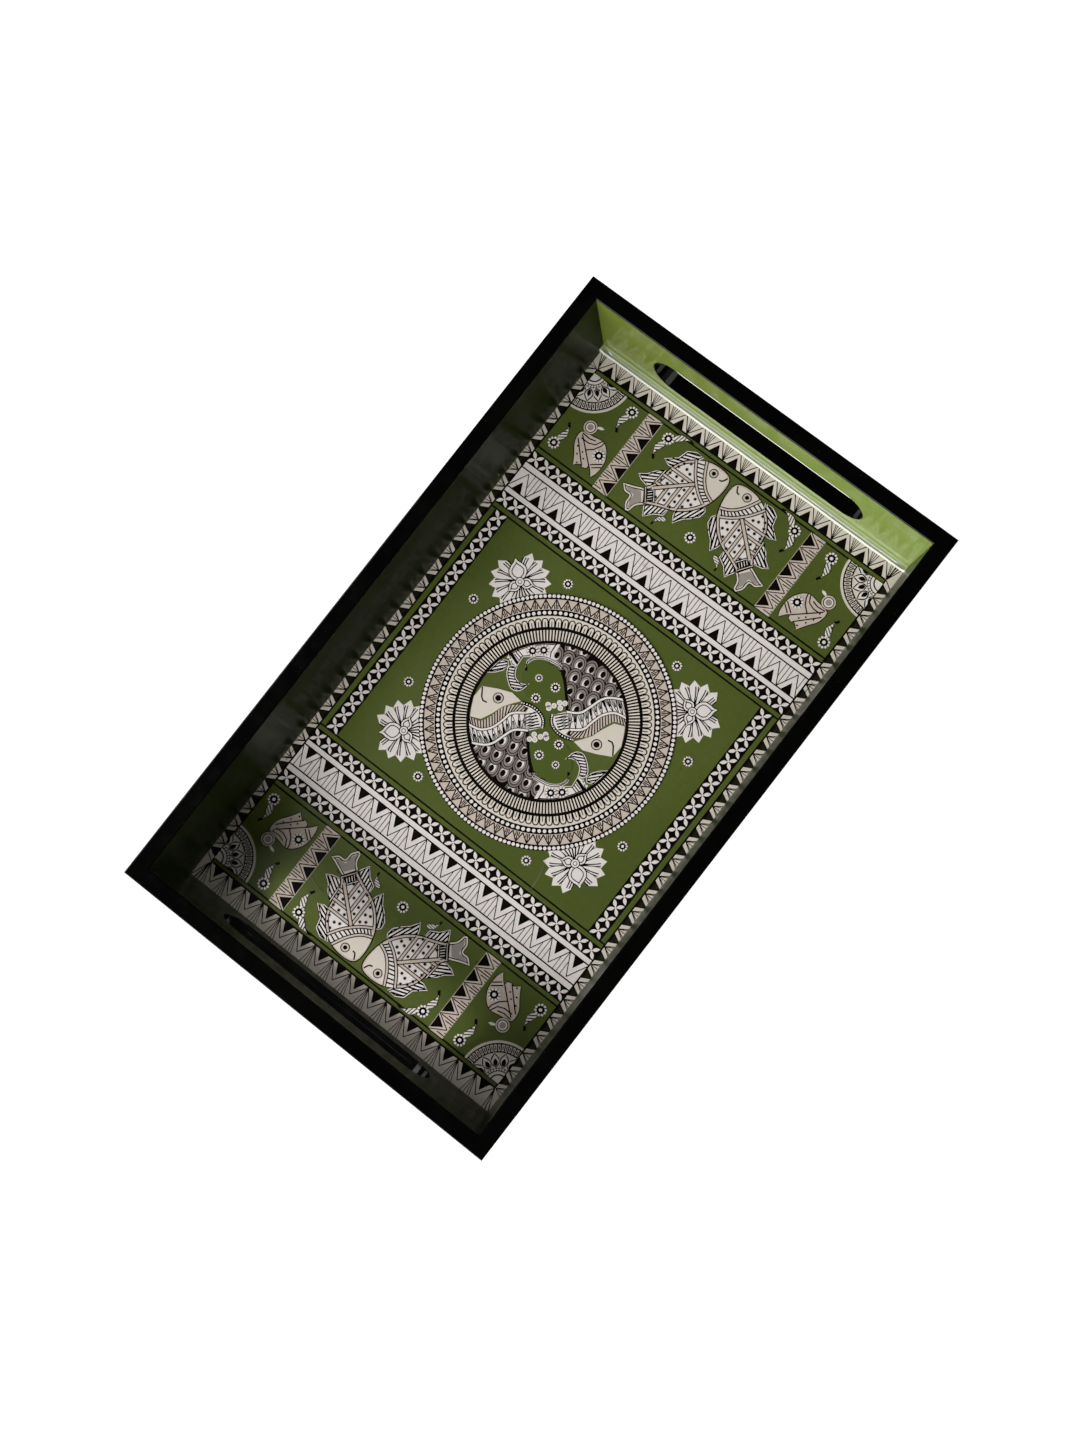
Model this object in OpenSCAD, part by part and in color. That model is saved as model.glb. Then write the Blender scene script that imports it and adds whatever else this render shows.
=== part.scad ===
// Rectangular serving tray with flared, mitred walls and a hand slot at each
// end. Millimetres. X runs across the tray, Y along it, Z up. The origin is on
// the table, under the middle of the tray.

/* [Walls] */
// Width over the rim, across the tray
rim_width = 229; // [180:1:300]
// Length over the rim, along the tray
rim_length = 384; // [330:1:460]
// Thickness of the wall boards, measured level
board_t = 9; // [7:0.5:12]
// Height of the rim above the printed floor
well_depth = 53.5; // [48:0.5:70]
// How far each wall leans out between its foot and its rim
flare = 6; // [2:0.5:12]

/* [Base] */
// Thickness of the base board
base_t = 5; // [4:0.5:9]
// Thickness of the printed sheet glued to the base
print_t = 0.3; // [0.2:0.1:0.6]
// Radius of the resin cove where the floor meets the walls
cove_r = 4; // [2:0.5:6]

/* [Hand slots] */
// Length of a hand slot, end to end
slot_length = 134; // [90:1:150]
// Height of a hand slot, and the diameter of its round ends
slot_height = 26; // [20:1:28]
// Height of the slot's middle above the printed floor
slot_centre = 22.5; // [20:0.5:28]

/* [Brads] */
// Diameter of a brad's shank
brad_d = 1.4; // [1:0.1:2]
// Diameter of a brad's head
brad_head_d = 2.4; // [2.2:0.1:3]
// Length of a brad, head included
brad_length = 20; // [16:1:24]
// Depth of the brad heads below the outer faces of the end walls
brad_set = 0.3; // [0.2:0.1:0.6]

/* [Felt pads] */
// Diameter of a felt pad
pad_d = 16; // [10:1:24]
// Thickness of a felt pad
pad_t = 2; // [1:0.5:4]
// Distance from the edges of the base to the middle of a pad
pad_inset = 18; // [14:1:30]

/* [Hidden] */
$fn = 64;

// Levels
base_z = pad_t;
foot_z = base_z + base_t;
floor_z = foot_z + print_t;
rim_z = floor_z + well_depth;
wall_h = rim_z - foot_z;

// Half sizes in plan, at the rim and at the foot of the walls
rim_half = [rim_width / 2, rim_length / 2];
foot_half = [for (half = rim_half) half - flare];
well_half = [for (half = foot_half) half - board_t];

// Lean of the walls away from upright
lean = atan(flare / wall_h);

// Brads: head thickness, and where they stand
brad_head_t = 0.6;
corner_brad_z = [foot_z + 12, foot_z + 38];
side_brad_y = [-140, -50, 50, 140];
end_brad_x = [-rim_width * 0.37, rim_width * 0.37];
brad_row = foot_half - [board_t / 2, board_t / 2];

// Thickness left at the thin edges of the resin cove, and the flats of its hollow
cove_edge = 0.2;
cove_steps = 8;

// Length by which cutting bodies pass the faces that they cut
past = 1;

// How far a wall's outer face has leaned out at height z
function leaned(z) = flare * (z - foot_z) / wall_h;

// Outline of the hand slot: a bar with round ends, long along Y
module slot_outline() {
  reach = (slot_length - slot_height) / 2;
  square([slot_height, 2 * reach], center = true);
  for (end = [-1, 1])
    translate([0, end * reach]) circle(d = slot_height);
}

// Plan of everything between the two mitre lines on the +X side. offset_y is
// how much farther the wall's ends are than its face is from the middle.
module mitre_plan(inner, outer, offset_y) {
  polygon([
    [inner, -inner - offset_y], [outer, -outer - offset_y],
    [outer, outer + offset_y], [inner, inner + offset_y],
  ]);
}

// Runs a section drawn in X and Z along Y, and mitres both of its ends
module mitred_run(inner, outer, offset_y) {
  intersection() {
    rotate([90, 0, 0])
      linear_extrude(height = 2 * (outer + offset_y), center = true) children();
    linear_extrude(height = rim_z + past)
      mitre_plan(inner, outer, offset_y);
  }
}

// One leaning wall board whose outer face looks along +X
module wall_board(rim, offset_y) {
  foot = rim - flare;
  mitred_run(foot - board_t - past, rim + past, offset_y)
    polygon([
      [foot - board_t, foot_z], [foot, foot_z], [rim, rim_z], [rim - board_t, rim_z],
    ]);
}

// Square to the faces of a wall board, at the height of the hand slot
module at_slot(rim) {
  z = floor_z + slot_centre;
  translate([rim - flare - board_t / 2 + leaned(z), 0, z])
    rotate([0, 90 + lean, 0]) children();
}

// Brad standing on its head at the origin, with its point up
module brad() {
  cylinder(h = brad_head_t, d = brad_head_d);
  cylinder(h = brad_length, d = brad_d);
}

// The two brads of one corner. They run along the tray from the end wall into
// the side wall. side and end are -1 or 1.
module corner_brads(side, end) {
  for (z = corner_brad_z)
    translate([
      side * (brad_row.x + leaned(z)), end * (foot_half.y + leaned(z) - brad_set), z,
    ])
      rotate([end * 90, 0, 0]) brad();
}

// The drilled holes of one corner's brads, open to the end wall's outer face
module corner_brad_holes(side, end) {
  corner_brads(side, end);
  for (z = corner_brad_z)
    translate([
      side * (brad_row.x + leaned(z)), end * (foot_half.y + leaned(z) - brad_set), z,
    ])
      rotate([-end * 90, 0, 0]) cylinder(h = brad_set + past, d = brad_head_d);
}

// Brads driven up through the base into a side wall
module side_base_brads(side) {
  for (y = side_brad_y)
    translate([side * brad_row.x, y, base_z]) brad();
}

// Brads driven up through the base into an end wall
module end_base_brads(end) {
  for (x = end_brad_x)
    translate([x, end * brad_row.y, base_z]) brad();
}

module base_board() {
  color("#1c1b19") difference() {
    translate([-foot_half.x, -foot_half.y, base_z])
      cube([2 * foot_half.x, 2 * foot_half.y, base_t]);
    for (way = [-1, 1]) {
      side_base_brads(way);
      end_base_brads(way);
    }
  }
}

module art_print() {
  color("#5d7a31")
    translate([-well_half.x, -well_half.y, foot_z])
      cube([2 * well_half.x, 2 * well_half.y, print_t]);
}

// Hollow resin fillet between the floor and one wall, in section, at height
// floor_z. inner is the distance of the wall's foot from the middle. Its two
// thin edges are cove_edge thick.
module cove_section(inner) {
  gap = cove_r + cove_edge;
  centre = [-gap * (1 - sin(lean)) / cos(lean), gap];
  hollow = [
    for (i = [0:cove_steps])
      let (turn = -90 + i / cove_steps * (90 - lean))
      centre + cove_r * [cos(turn), sin(turn)]
  ];
  translate([inner + print_t * tan(lean), floor_z])
    polygon(concat(
      [[0, 0], [centre.x, 0]], hollow, [centre + gap * [cos(lean), -sin(lean)]]
    ));
}

module resin_cove() {
  color("#93a46a") for (turn = [0, 180]) {
    rotate([0, 0, turn])
      mitred_run(well_half.x - cove_r - past, foot_half.x, rim_half.y - rim_half.x)
        cove_section(well_half.x);
    rotate([0, 0, turn + 90])
      mitred_run(well_half.y - cove_r - past, foot_half.y, rim_half.x - rim_half.y)
        cove_section(well_half.y);
  }
}

module side_wall(side) {
  color("#24251f") difference() {
    rotate([0, 0, side > 0 ? 0 : 180])
      wall_board(rim_half.x, rim_half.y - rim_half.x);
    for (end = [-1, 1]) corner_brads(side, end);
    side_base_brads(side);
  }
}

module side_wall_left() { side_wall(-1); }
module side_wall_right() { side_wall(1); }

module handle_wall(end) {
  color("#1d1e1a") difference() {
    rotate([0, 0, end * 90])
      difference() {
        wall_board(rim_half.y, rim_half.x - rim_half.y);
        at_slot(rim_half.y)
          linear_extrude(height = 2 * board_t + 2 * past, center = true) slot_outline();
      }
    for (side = [-1, 1]) corner_brad_holes(side, end);
    end_base_brads(end);
  }
}

module handle_wall_far() { handle_wall(1); }
module handle_wall_near() { handle_wall(-1); }

module corner_brads_far_left() { color("#b9b6ae") corner_brads(-1, 1); }
module corner_brads_far_right() { color("#b9b6ae") corner_brads(1, 1); }
module corner_brads_near_left() { color("#b9b6ae") corner_brads(-1, -1); }
module corner_brads_near_right() { color("#b9b6ae") corner_brads(1, -1); }

module base_brads_left() { color("#b9b6ae") side_base_brads(-1); }
module base_brads_right() { color("#b9b6ae") side_base_brads(1); }
module base_brads_far() { color("#b9b6ae") end_base_brads(1); }
module base_brads_near() { color("#b9b6ae") end_base_brads(-1); }

// Round felt pad near one corner of the base
module felt_pad(side, end) {
  color("#3a3a3c")
    translate([
      side * (foot_half.x - pad_inset), end * (foot_half.y - pad_inset), 0,
    ])
      cylinder(h = pad_t, d = pad_d);
}

module felt_pad_far_left() { felt_pad(-1, 1); }
module felt_pad_far_right() { felt_pad(1, 1); }
module felt_pad_near_left() { felt_pad(-1, -1); }
module felt_pad_near_right() { felt_pad(1, -1); }

base_board();
art_print();
resin_cove();
side_wall_left();
side_wall_right();
handle_wall_far();
handle_wall_near();
corner_brads_far_left();
corner_brads_far_right();
corner_brads_near_left();
corner_brads_near_right();
base_brads_left();
base_brads_right();
base_brads_far();
base_brads_near();
felt_pad_far_left();
felt_pad_far_right();
felt_pad_near_left();
felt_pad_near_right();
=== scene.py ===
"""A lacquered serving tray with flared walls, hand slots and a folk-art print under resin."""
import logging
import math
from dataclasses import dataclass, field
from enum import Enum
from typing import Callable, Iterable, Sequence

import bmesh
import bpy
from mathutils import Matrix, Vector


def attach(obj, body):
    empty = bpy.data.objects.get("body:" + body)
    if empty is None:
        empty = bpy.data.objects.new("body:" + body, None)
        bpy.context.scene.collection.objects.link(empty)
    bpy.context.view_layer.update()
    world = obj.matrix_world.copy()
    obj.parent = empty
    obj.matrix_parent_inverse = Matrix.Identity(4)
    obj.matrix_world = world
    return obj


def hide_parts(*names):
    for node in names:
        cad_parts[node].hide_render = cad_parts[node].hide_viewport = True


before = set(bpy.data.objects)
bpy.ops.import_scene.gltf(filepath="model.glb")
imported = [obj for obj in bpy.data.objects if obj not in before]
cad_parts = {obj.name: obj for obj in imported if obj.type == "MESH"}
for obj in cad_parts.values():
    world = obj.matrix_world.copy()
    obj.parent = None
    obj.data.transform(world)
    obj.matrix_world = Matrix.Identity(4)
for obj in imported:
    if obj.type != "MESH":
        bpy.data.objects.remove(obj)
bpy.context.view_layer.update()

MM = 0.001
SAME_POINT = 1e-4
SAME_LEVEL = 1e-3
CREASE = 0.5
ALONG_SLOT = 0.7
FACING = 0.999
PAPER_FIBRE = 420.0
RESIN_WAVES = 38.0
RESIN_DEPTH = 0.00005
RESIN_HAZE = 0.02
LOG = logging.getLogger("tray")
Point = tuple[float, float]
Outline = list[Point]
Colour = tuple[float, float, float]


# ---------------------------------------------------------------- shader maths


class Signal:
    """One number that changes over a surface. Arithmetic on it adds Math nodes."""

    def __init__(self, recipe: "Recipe", socket: bpy.types.NodeSocket) -> None:
        """Keeps the socket and the recipe that it belongs to."""
        self.recipe = recipe
        self.socket = socket

    def _maths(self, operation: str, first: object, second: object = 0.0) -> "Signal":
        """Adds one Math node.

        Args:
            operation: The node's operation, such as ADD.
            first: A number or a Signal.
            second: A number or a Signal.

        Returns:
            The result as a new Signal.
        """
        node = self.recipe.node(
            "ShaderNodeMath", {"operation": operation}, {0: first, 1: second}
        )
        return Signal(self.recipe, node.outputs[0])

    def __add__(self, other: object) -> "Signal":
        """Sum."""
        return self._maths("ADD", self, other)

    __radd__ = __add__

    def __sub__(self, other: object) -> "Signal":
        """Difference."""
        return self._maths("SUBTRACT", self, other)

    def __rsub__(self, other: object) -> "Signal":
        """Difference from a number."""
        return self._maths("SUBTRACT", other, self)

    def __mul__(self, other: object) -> "Signal":
        """Product."""
        return self._maths("MULTIPLY", self, other)

    __rmul__ = __mul__

    def above(self, limit: object) -> "Signal":
        """1 where the signal is over the limit, 0 elsewhere."""
        return self._maths("GREATER_THAN", self, limit)

    def below(self, limit: object) -> "Signal":
        """1 where the signal is under the limit, 0 elsewhere."""
        return self._maths("LESS_THAN", self, limit)

    def ramp(self, low: float, high: float) -> "Signal":
        """0 under low, 1 over high, and smooth between them."""
        node = self.recipe.node(
            "ShaderNodeMapRange",
            {"interpolation_type": "SMOOTHSTEP"},
            {"Value": self, "From Min": low, "From Max": high},
        )
        return Signal(self.recipe, node.outputs[0])


class Recipe:
    """Builds one material: a Principled shader and the nodes that feed it."""

    def __init__(self, name: str) -> None:
        """Starts an empty material with a Principled shader on its output."""
        self.material = bpy.data.materials.new(name)
        self.material.use_nodes = True
        self.tree = self.material.node_tree
        self.tree.nodes.clear()
        output = self.tree.nodes.new("ShaderNodeOutputMaterial")
        self.shader = self.node("ShaderNodeBsdfPrincipled", {}, {})
        self.tree.links.new(self.shader.outputs[0], output.inputs["Surface"])
        self.place = self.node("ShaderNodeTexCoord", {}, {}).outputs["Object"]

    def node(self, kind: str, settings: dict, values: dict) -> bpy.types.Node:
        """Adds a node.

        Args:
            kind: The node's type.
            settings: Properties of the node, set first.
            values: What goes into each socket: a number, a colour, a socket or a Signal.

        Returns:
            The new node.
        """
        node = self.tree.nodes.new(kind)
        for name, setting in settings.items():
            setattr(node, name, setting)
        for name, value in values.items():
            if isinstance(value, Signal):
                value = value.socket
            if isinstance(value, bpy.types.NodeSocket):
                self.tree.links.new(value, node.inputs[name])
            else:
                node.inputs[name].default_value = value
        return node

    def noise(self, scale: float, detail: float = 3.0, roughness: float = 0.5) -> Signal:
        """Cloudy noise on the object's own coordinates, about 0.5."""
        node = self.node(
            "ShaderNodeTexNoise",
            {},
            {"Vector": self.place, "Scale": scale, "Detail": detail, "Roughness": roughness},
        )
        return Signal(self, node.outputs["Fac"])

    def cells(self, scale: float) -> Signal:
        """Distance to the nearest of many scattered points."""
        node = self.node("ShaderNodeTexVoronoi", {}, {"Vector": self.place, "Scale": scale})
        return Signal(self, node.outputs["Distance"])

    def mix(self, share: object, first: object, second: object) -> bpy.types.NodeSocket:
        """Blends two colours by a share from 0 to 1."""
        node = self.node(
            "ShaderNodeMix",
            {"data_type": "RGBA"},
            {0: share, 6: self.opaque(first), 7: self.opaque(second)},
        )
        return node.outputs[2]

    @staticmethod
    def opaque(colour: object) -> object:
        """Gives a plain colour its alpha, and passes a socket on."""
        return (*colour, 1.0) if isinstance(colour, tuple) else colour

    def bump(self, height: Signal, depth: float) -> bpy.types.NodeSocket:
        """A normal from a height of 0 to 1 that stands for depth metres."""
        node = self.node("ShaderNodeBump", {}, {"Height": height, "Distance": depth})
        return node.outputs[0]

    def finish(self, values: dict) -> bpy.types.Material:
        """Feeds the Principled shader and returns the material."""
        for name, value in values.items():
            socket = self.shader.inputs[name]
            value = value.socket if isinstance(value, Signal) else self.opaque(value)
            if isinstance(value, bpy.types.NodeSocket):
                self.tree.links.new(value, socket)
            else:
                socket.default_value = value
        return self.material


# -------------------------------------------------------------------- finishes


@dataclass(frozen=True)
class Enamel:
    """Brushed enamel over fibreboard, with orange peel, dust and faint clouding. A sweep,
    in metres either side of the middle, paints shade along X, from the colour at -X to the lighter clouding
    colour at +X."""

    name: str
    colour: Colour
    # Colour of the random clouding, and with a sweep also the lighter, lit end of the painted shade.
    cloud_and_lit_tone: Colour
    dust: Colour
    dust_size: float = 0.045
    dust_scale: float = 260.0
    cloud_scale: float = 34.0
    smear_scale: float = 120.0
    peel_scale: float = 240.0
    wave_scale: float = 55.0
    peel: float = 0.00006
    roughness: float = 0.16
    gloss: float = 1.0
    shine: float = 0.5
    # The sweep paints shade across X; mottle is the share left to the random clouding.
    sweep: float = 0.0
    mottle: float = 0.16

    def material(self) -> bpy.types.Material:
        """Makes the enamel's material."""
        mix = Recipe(self.name)
        cloud_and_lit_tone = mix.noise(self.cloud_scale, 4.0).ramp(0.35, 0.7)
        # Painted shade: with a sweep, the tone runs from the darker colour at -X to the lighter one at +X, as
        # light falls across the wall.
        if self.sweep:
            split = mix.node("ShaderNodeSeparateXYZ", {}, {0: mix.place})
            tone = Signal(mix, split.outputs["X"]).ramp(-self.sweep, self.sweep)
            cloud_and_lit_tone = cloud_and_lit_tone * self.mottle + tone * (1.0 - self.mottle)
        specks = mix.cells(self.dust_scale).below(self.dust_size)
        specks = specks * mix.noise(21.0, 2.0).above(0.52)
        colour = mix.mix(cloud_and_lit_tone, self.colour, self.cloud_and_lit_tone)
        colour = mix.mix(specks, colour, self.dust)
        smear = mix.noise(self.smear_scale, 3.0).ramp(0.45, 0.75)
        peel, wave = mix.noise(self.peel_scale, 2.0), mix.noise(self.wave_scale, 2.0)
        height = peel * 0.35 + wave * 0.65 + specks * 0.25
        return mix.finish(
            {
                "Base Color": colour,
                "Roughness": smear * 0.1 + self.roughness + specks * 0.4,
                "Specular IOR Level": self.shine,
                "Coat Weight": self.gloss,
                "Coat Roughness": 0.03,
                "Normal": mix.bump(height, self.peel),
            }
        )


@dataclass(frozen=True)
class PrintedGround:
    """The green of the printed sheet under resin, with a soft fibre and slow colour drift."""

    name: str
    colour: Colour
    drift: Colour

    def material(self) -> bpy.types.Material:
        """Makes the printed ground's material."""
        mix = Recipe(self.name)
        drift = mix.noise(9.0, 3.0).ramp(0.3, 0.72)
        fibre = mix.noise(PAPER_FIBRE, 2.0)
        colour = mix.mix(drift, self.colour, self.drift)
        shade = mix.node(
            "ShaderNodeHueSaturation",
            {},
            {"Color": colour, "Value": fibre * 0.26 + 0.87},
        )
        height = mix.noise(RESIN_WAVES, 2.0) * 0.8 + fibre * 0.2
        return mix.finish(
            {
                "Base Color": shade.outputs[0],
                "Roughness": mix.noise(60.0) * 0.12 + 0.24,
                "Coat Weight": 1.0,
                "Coat Roughness": RESIN_HAZE,
                "Normal": mix.bump(height, RESIN_DEPTH),
            }
        )


@dataclass(frozen=True)
class PrintInk:
    """One printed colour under the same resin as the ground. Its colour is even."""

    name: str
    colour: Colour

    def material(self) -> bpy.types.Material:
        """Makes the ink's material."""
        mix = Recipe(self.name)
        height = mix.noise(RESIN_WAVES, 2.0) * 0.8 + mix.noise(PAPER_FIBRE, 2.0) * 0.2
        return mix.finish(
            {
                "Base Color": self.colour,
                "Roughness": mix.noise(60.0) * 0.1 + 0.18,
                "Specular IOR Level": 0.3,
                "Coat Weight": 1.0,
                "Coat Roughness": RESIN_HAZE,
                "Normal": mix.bump(height, RESIN_DEPTH),
            }
        )


@dataclass(frozen=True)
class PooledResin:
    """Thick resin in the corner between floor and wall: clear, but nearly opaque past a line at the far end,
    with a painted sheen, darker low and lighter high, and a painted highlight along its inner edge."""

    name: str
    # Painted sheen of the far strip: the darker colour low, the lighter one high.
    low: Colour
    high: Colour
    # Near-white of the bubbles and of the painted highlight line.
    rim: Colour
    low_z: float
    high_z: float
    # Past this Y the resin turns nearly opaque, so the painted sheen shows.
    painted_sheen_y: float
    # Width of the painted highlight line.
    painted_highlight_band: float = 0.0011

    def material(self) -> bpy.types.Material:
        """Makes the resin's material."""
        mix = Recipe(self.name)
        split = mix.node("ShaderNodeSeparateXYZ", {}, {0: mix.place})
        rise = Signal(mix, split.outputs["Z"]) + mix.noise(60.0) * 0.0012
        # Painted sheen: the colour runs from darker low to lighter high as the resin rises.
        share = rise.ramp(self.low_z, self.high_z)
        bubbles = mix.cells(430.0).below(0.05) * mix.noise(30.0).above(0.55)
        reach = Signal(mix, split.outputs["Y"]) + mix.noise(45.0, 1.0) * 0.0004
        # Painted highlight: a thin near-white line along the far strip's inner edge.
        painted_highlight_band = reach.above(self.painted_sheen_y) * reach.below(self.painted_sheen_y + self.painted_highlight_band)
        colour = mix.mix(painted_highlight_band, mix.mix(share, self.low, self.high), self.rim)
        # Past the line at the far end the resin turns nearly opaque, so the painted sheen shows.
        painted_sheen = reach.ramp(self.painted_sheen_y - 0.0002, self.painted_sheen_y + 0.0002)
        return mix.finish(
            {
                "Base Color": mix.mix(bubbles, colour, self.rim),
                "Alpha": painted_sheen * 0.82 + bubbles * 0.1 + 0.05,
                "Roughness": mix.noise(90.0) * 0.1 + 0.3,
                "Specular IOR Level": 0.25,
                "Coat Weight": 0.15,
                "Coat Roughness": 0.12,
                "Normal": mix.bump(mix.noise(50.0, 1.0), 0.00002),
            }
        )


@dataclass(frozen=True)
class BradSteel:
    """Bright wire steel with drawing marks and a little rust."""

    name: str

    def material(self) -> bpy.types.Material:
        """Makes the steel's material."""
        mix = Recipe(self.name)
        rust = mix.noise(700.0, 4.0).ramp(0.56, 0.72)
        return mix.finish(
            {
                "Base Color": mix.mix(rust, (0.46, 0.45, 0.43), (0.2, 0.09, 0.04)),
                "Metallic": 1.0 - rust * 0.7,
                "Roughness": mix.noise(900.0) * 0.25 + 0.28 + rust * 0.3,
                "Normal": mix.bump(mix.noise(1500.0, 2.0), 0.00003),
            }
        )


@dataclass(frozen=True)
class PressedFelt:
    """Grey pressed felt with matted fibres and lint."""

    name: str
    colour: Colour
    lint: Colour

    def material(self) -> bpy.types.Material:
        """Makes the felt's material."""
        mix = Recipe(self.name)
        mat = mix.noise(900.0, 5.0, 0.7)
        fluff = mix.noise(2600.0, 3.0, 0.6)
        colour = mix.mix(mat.ramp(0.4, 0.7), self.colour, self.lint)
        return mix.finish(
            {
                "Base Color": colour,
                "Roughness": fluff * 0.1 + 0.88,
                "Sheen Weight": 0.35,
                "Normal": mix.bump(mat * 0.6 + fluff * 0.4, 0.0005),
            }
        )


@dataclass(frozen=True)
class StudioPaper:
    """Pale seamless paper, a little self-lit so that it stays even."""

    name: str
    colour: Colour
    glow: float
    albedo: float = 0.12
    mottle: float = 2.0
    shade: float = 0.985

    def material(self) -> bpy.types.Material:
        """Makes the paper's material."""
        mix = Recipe(self.name)
        pale = tuple(c * self.albedo for c in self.colour)
        tone = mix.mix(mix.noise(self.mottle), pale, tuple(c * self.shade for c in pale))
        return mix.finish(
            {
                "Base Color": tone,
                "Roughness": 0.95,
                "Emission Color": self.colour,
                "Emission Strength": self.glow,
            }
        )


# -------------------------------------------------------------- outline helpers


def polar(radius: float, degrees: float, centre: Point = (0.0, 0.0)) -> Point:
    """A point at a radius and an angle round a centre."""
    turn = math.radians(degrees)
    return (centre[0] + radius * math.cos(turn), centre[1] + radius * math.sin(turn))


def arc(centre: Point, radius: float, start: float, end: float, steps: int) -> Outline:
    """Points along an arc, both ends included."""
    return [
        polar(radius, start + (end - start) * i / steps, centre) for i in range(steps + 1)
    ]


def apart(points: Iterable[Point], closed: bool) -> Outline:
    """Drops points that repeat the one before."""
    kept: Outline = []
    for point in points:
        if not kept or math.dist(point, kept[-1]) > SAME_POINT:
            kept.append(point)
    if closed and len(kept) > 1 and math.dist(kept[0], kept[-1]) < SAME_POINT:
        kept.pop()
    return kept


def smooth(points: Sequence[Point], steps: int = 4, closed: bool = True) -> Outline:
    """A smooth curve through the points. A point given twice makes a corner.

    Args:
        points: The points to pass through.
        steps: Points made for each span.
        closed: Whether the curve returns to its start.

    Returns:
        The curve's points.
    """
    count = len(points)

    def at(index: int) -> Point:
        """The point at an index, which may lie outside the list."""
        return points[index % count] if closed else points[min(max(index, 0), count - 1)]

    curve: Outline = []
    for i in range(count if closed else count - 1):
        a, b, c, d = at(i - 1), at(i), at(i + 1), at(i + 2)
        for step in range(steps if b != c else 0):
            t = step / steps
            curve.append(
                tuple(
                    b[n]
                    + 0.5 * t * (c[n] - a[n])
                    + t * t * (a[n] - 2.5 * b[n] + 2 * c[n] - 0.5 * d[n])
                    + t**3 * (1.5 * b[n] - 0.5 * a[n] - 1.5 * c[n] + 0.5 * d[n])
                    for n in (0, 1)
                )
            )
    if not closed:
        curve.append(points[-1])
    return apart(curve, closed)


def anticlockwise(outline: Sequence[Point]) -> Outline:
    """The outline, turned if needed so that its inside is on the left."""
    turn = sum(
        a[0] * b[1] - b[0] * a[1] for a, b in zip(outline, [*outline[1:], outline[0]])
    )
    return list(outline) if turn > 0 else list(reversed(outline))


def crossings(outline: Sequence[Point], level: float) -> list[float]:
    """Where a level line crosses an outline, from left to right."""
    found = []
    for a, b in zip(outline, [*outline[1:], outline[0]]):
        if (a[1] > level) != (b[1] > level):
            found.append(a[0] + (level - a[1]) * (b[0] - a[0]) / (b[1] - a[1]))
    return sorted(found)


def turned(outline: Iterable[Point], degrees: float, centre: Point = (0.0, 0.0)) -> Outline:
    """The outline turned about a centre."""
    cos, sin = math.cos(math.radians(degrees)), math.sin(math.radians(degrees))
    return [
        (
            centre[0] + (x - centre[0]) * cos - (y - centre[1]) * sin,
            centre[1] + (x - centre[0]) * sin + (y - centre[1]) * cos,
        )
        for x, y in outline
    ]


def moved(outline: Iterable[Point], by: Point) -> Outline:
    """The outline moved by a step."""
    return [(x + by[0], y + by[1]) for x, y in outline]


def petal(length: float, width: float, belly: float = 0.5, steps: int = 5) -> Outline:
    """A leaf shape along +Y from the origin, widest at belly of its length."""
    side = []
    for i in range(1, steps):
        t = i / steps
        bulge = math.sin(math.pi * t ** (math.log(0.5) / math.log(belly)))
        side.append((0.5 * width * bulge, length * t))
    return [(0.0, 0.0), *side, (0.0, length), *[(-x, y) for x, y in reversed(side)]]


# ------------------------------------------------------------- printing plates


class Ink(Enum):
    """The colours of the print, each a film of its own."""

    CREAM = "cream"
    WHITE = "white"
    BLUSH = "blush"
    DARK = "dark"
    MOSS = "moss"
    GREY = "grey"
    GREEN = "green"


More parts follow.
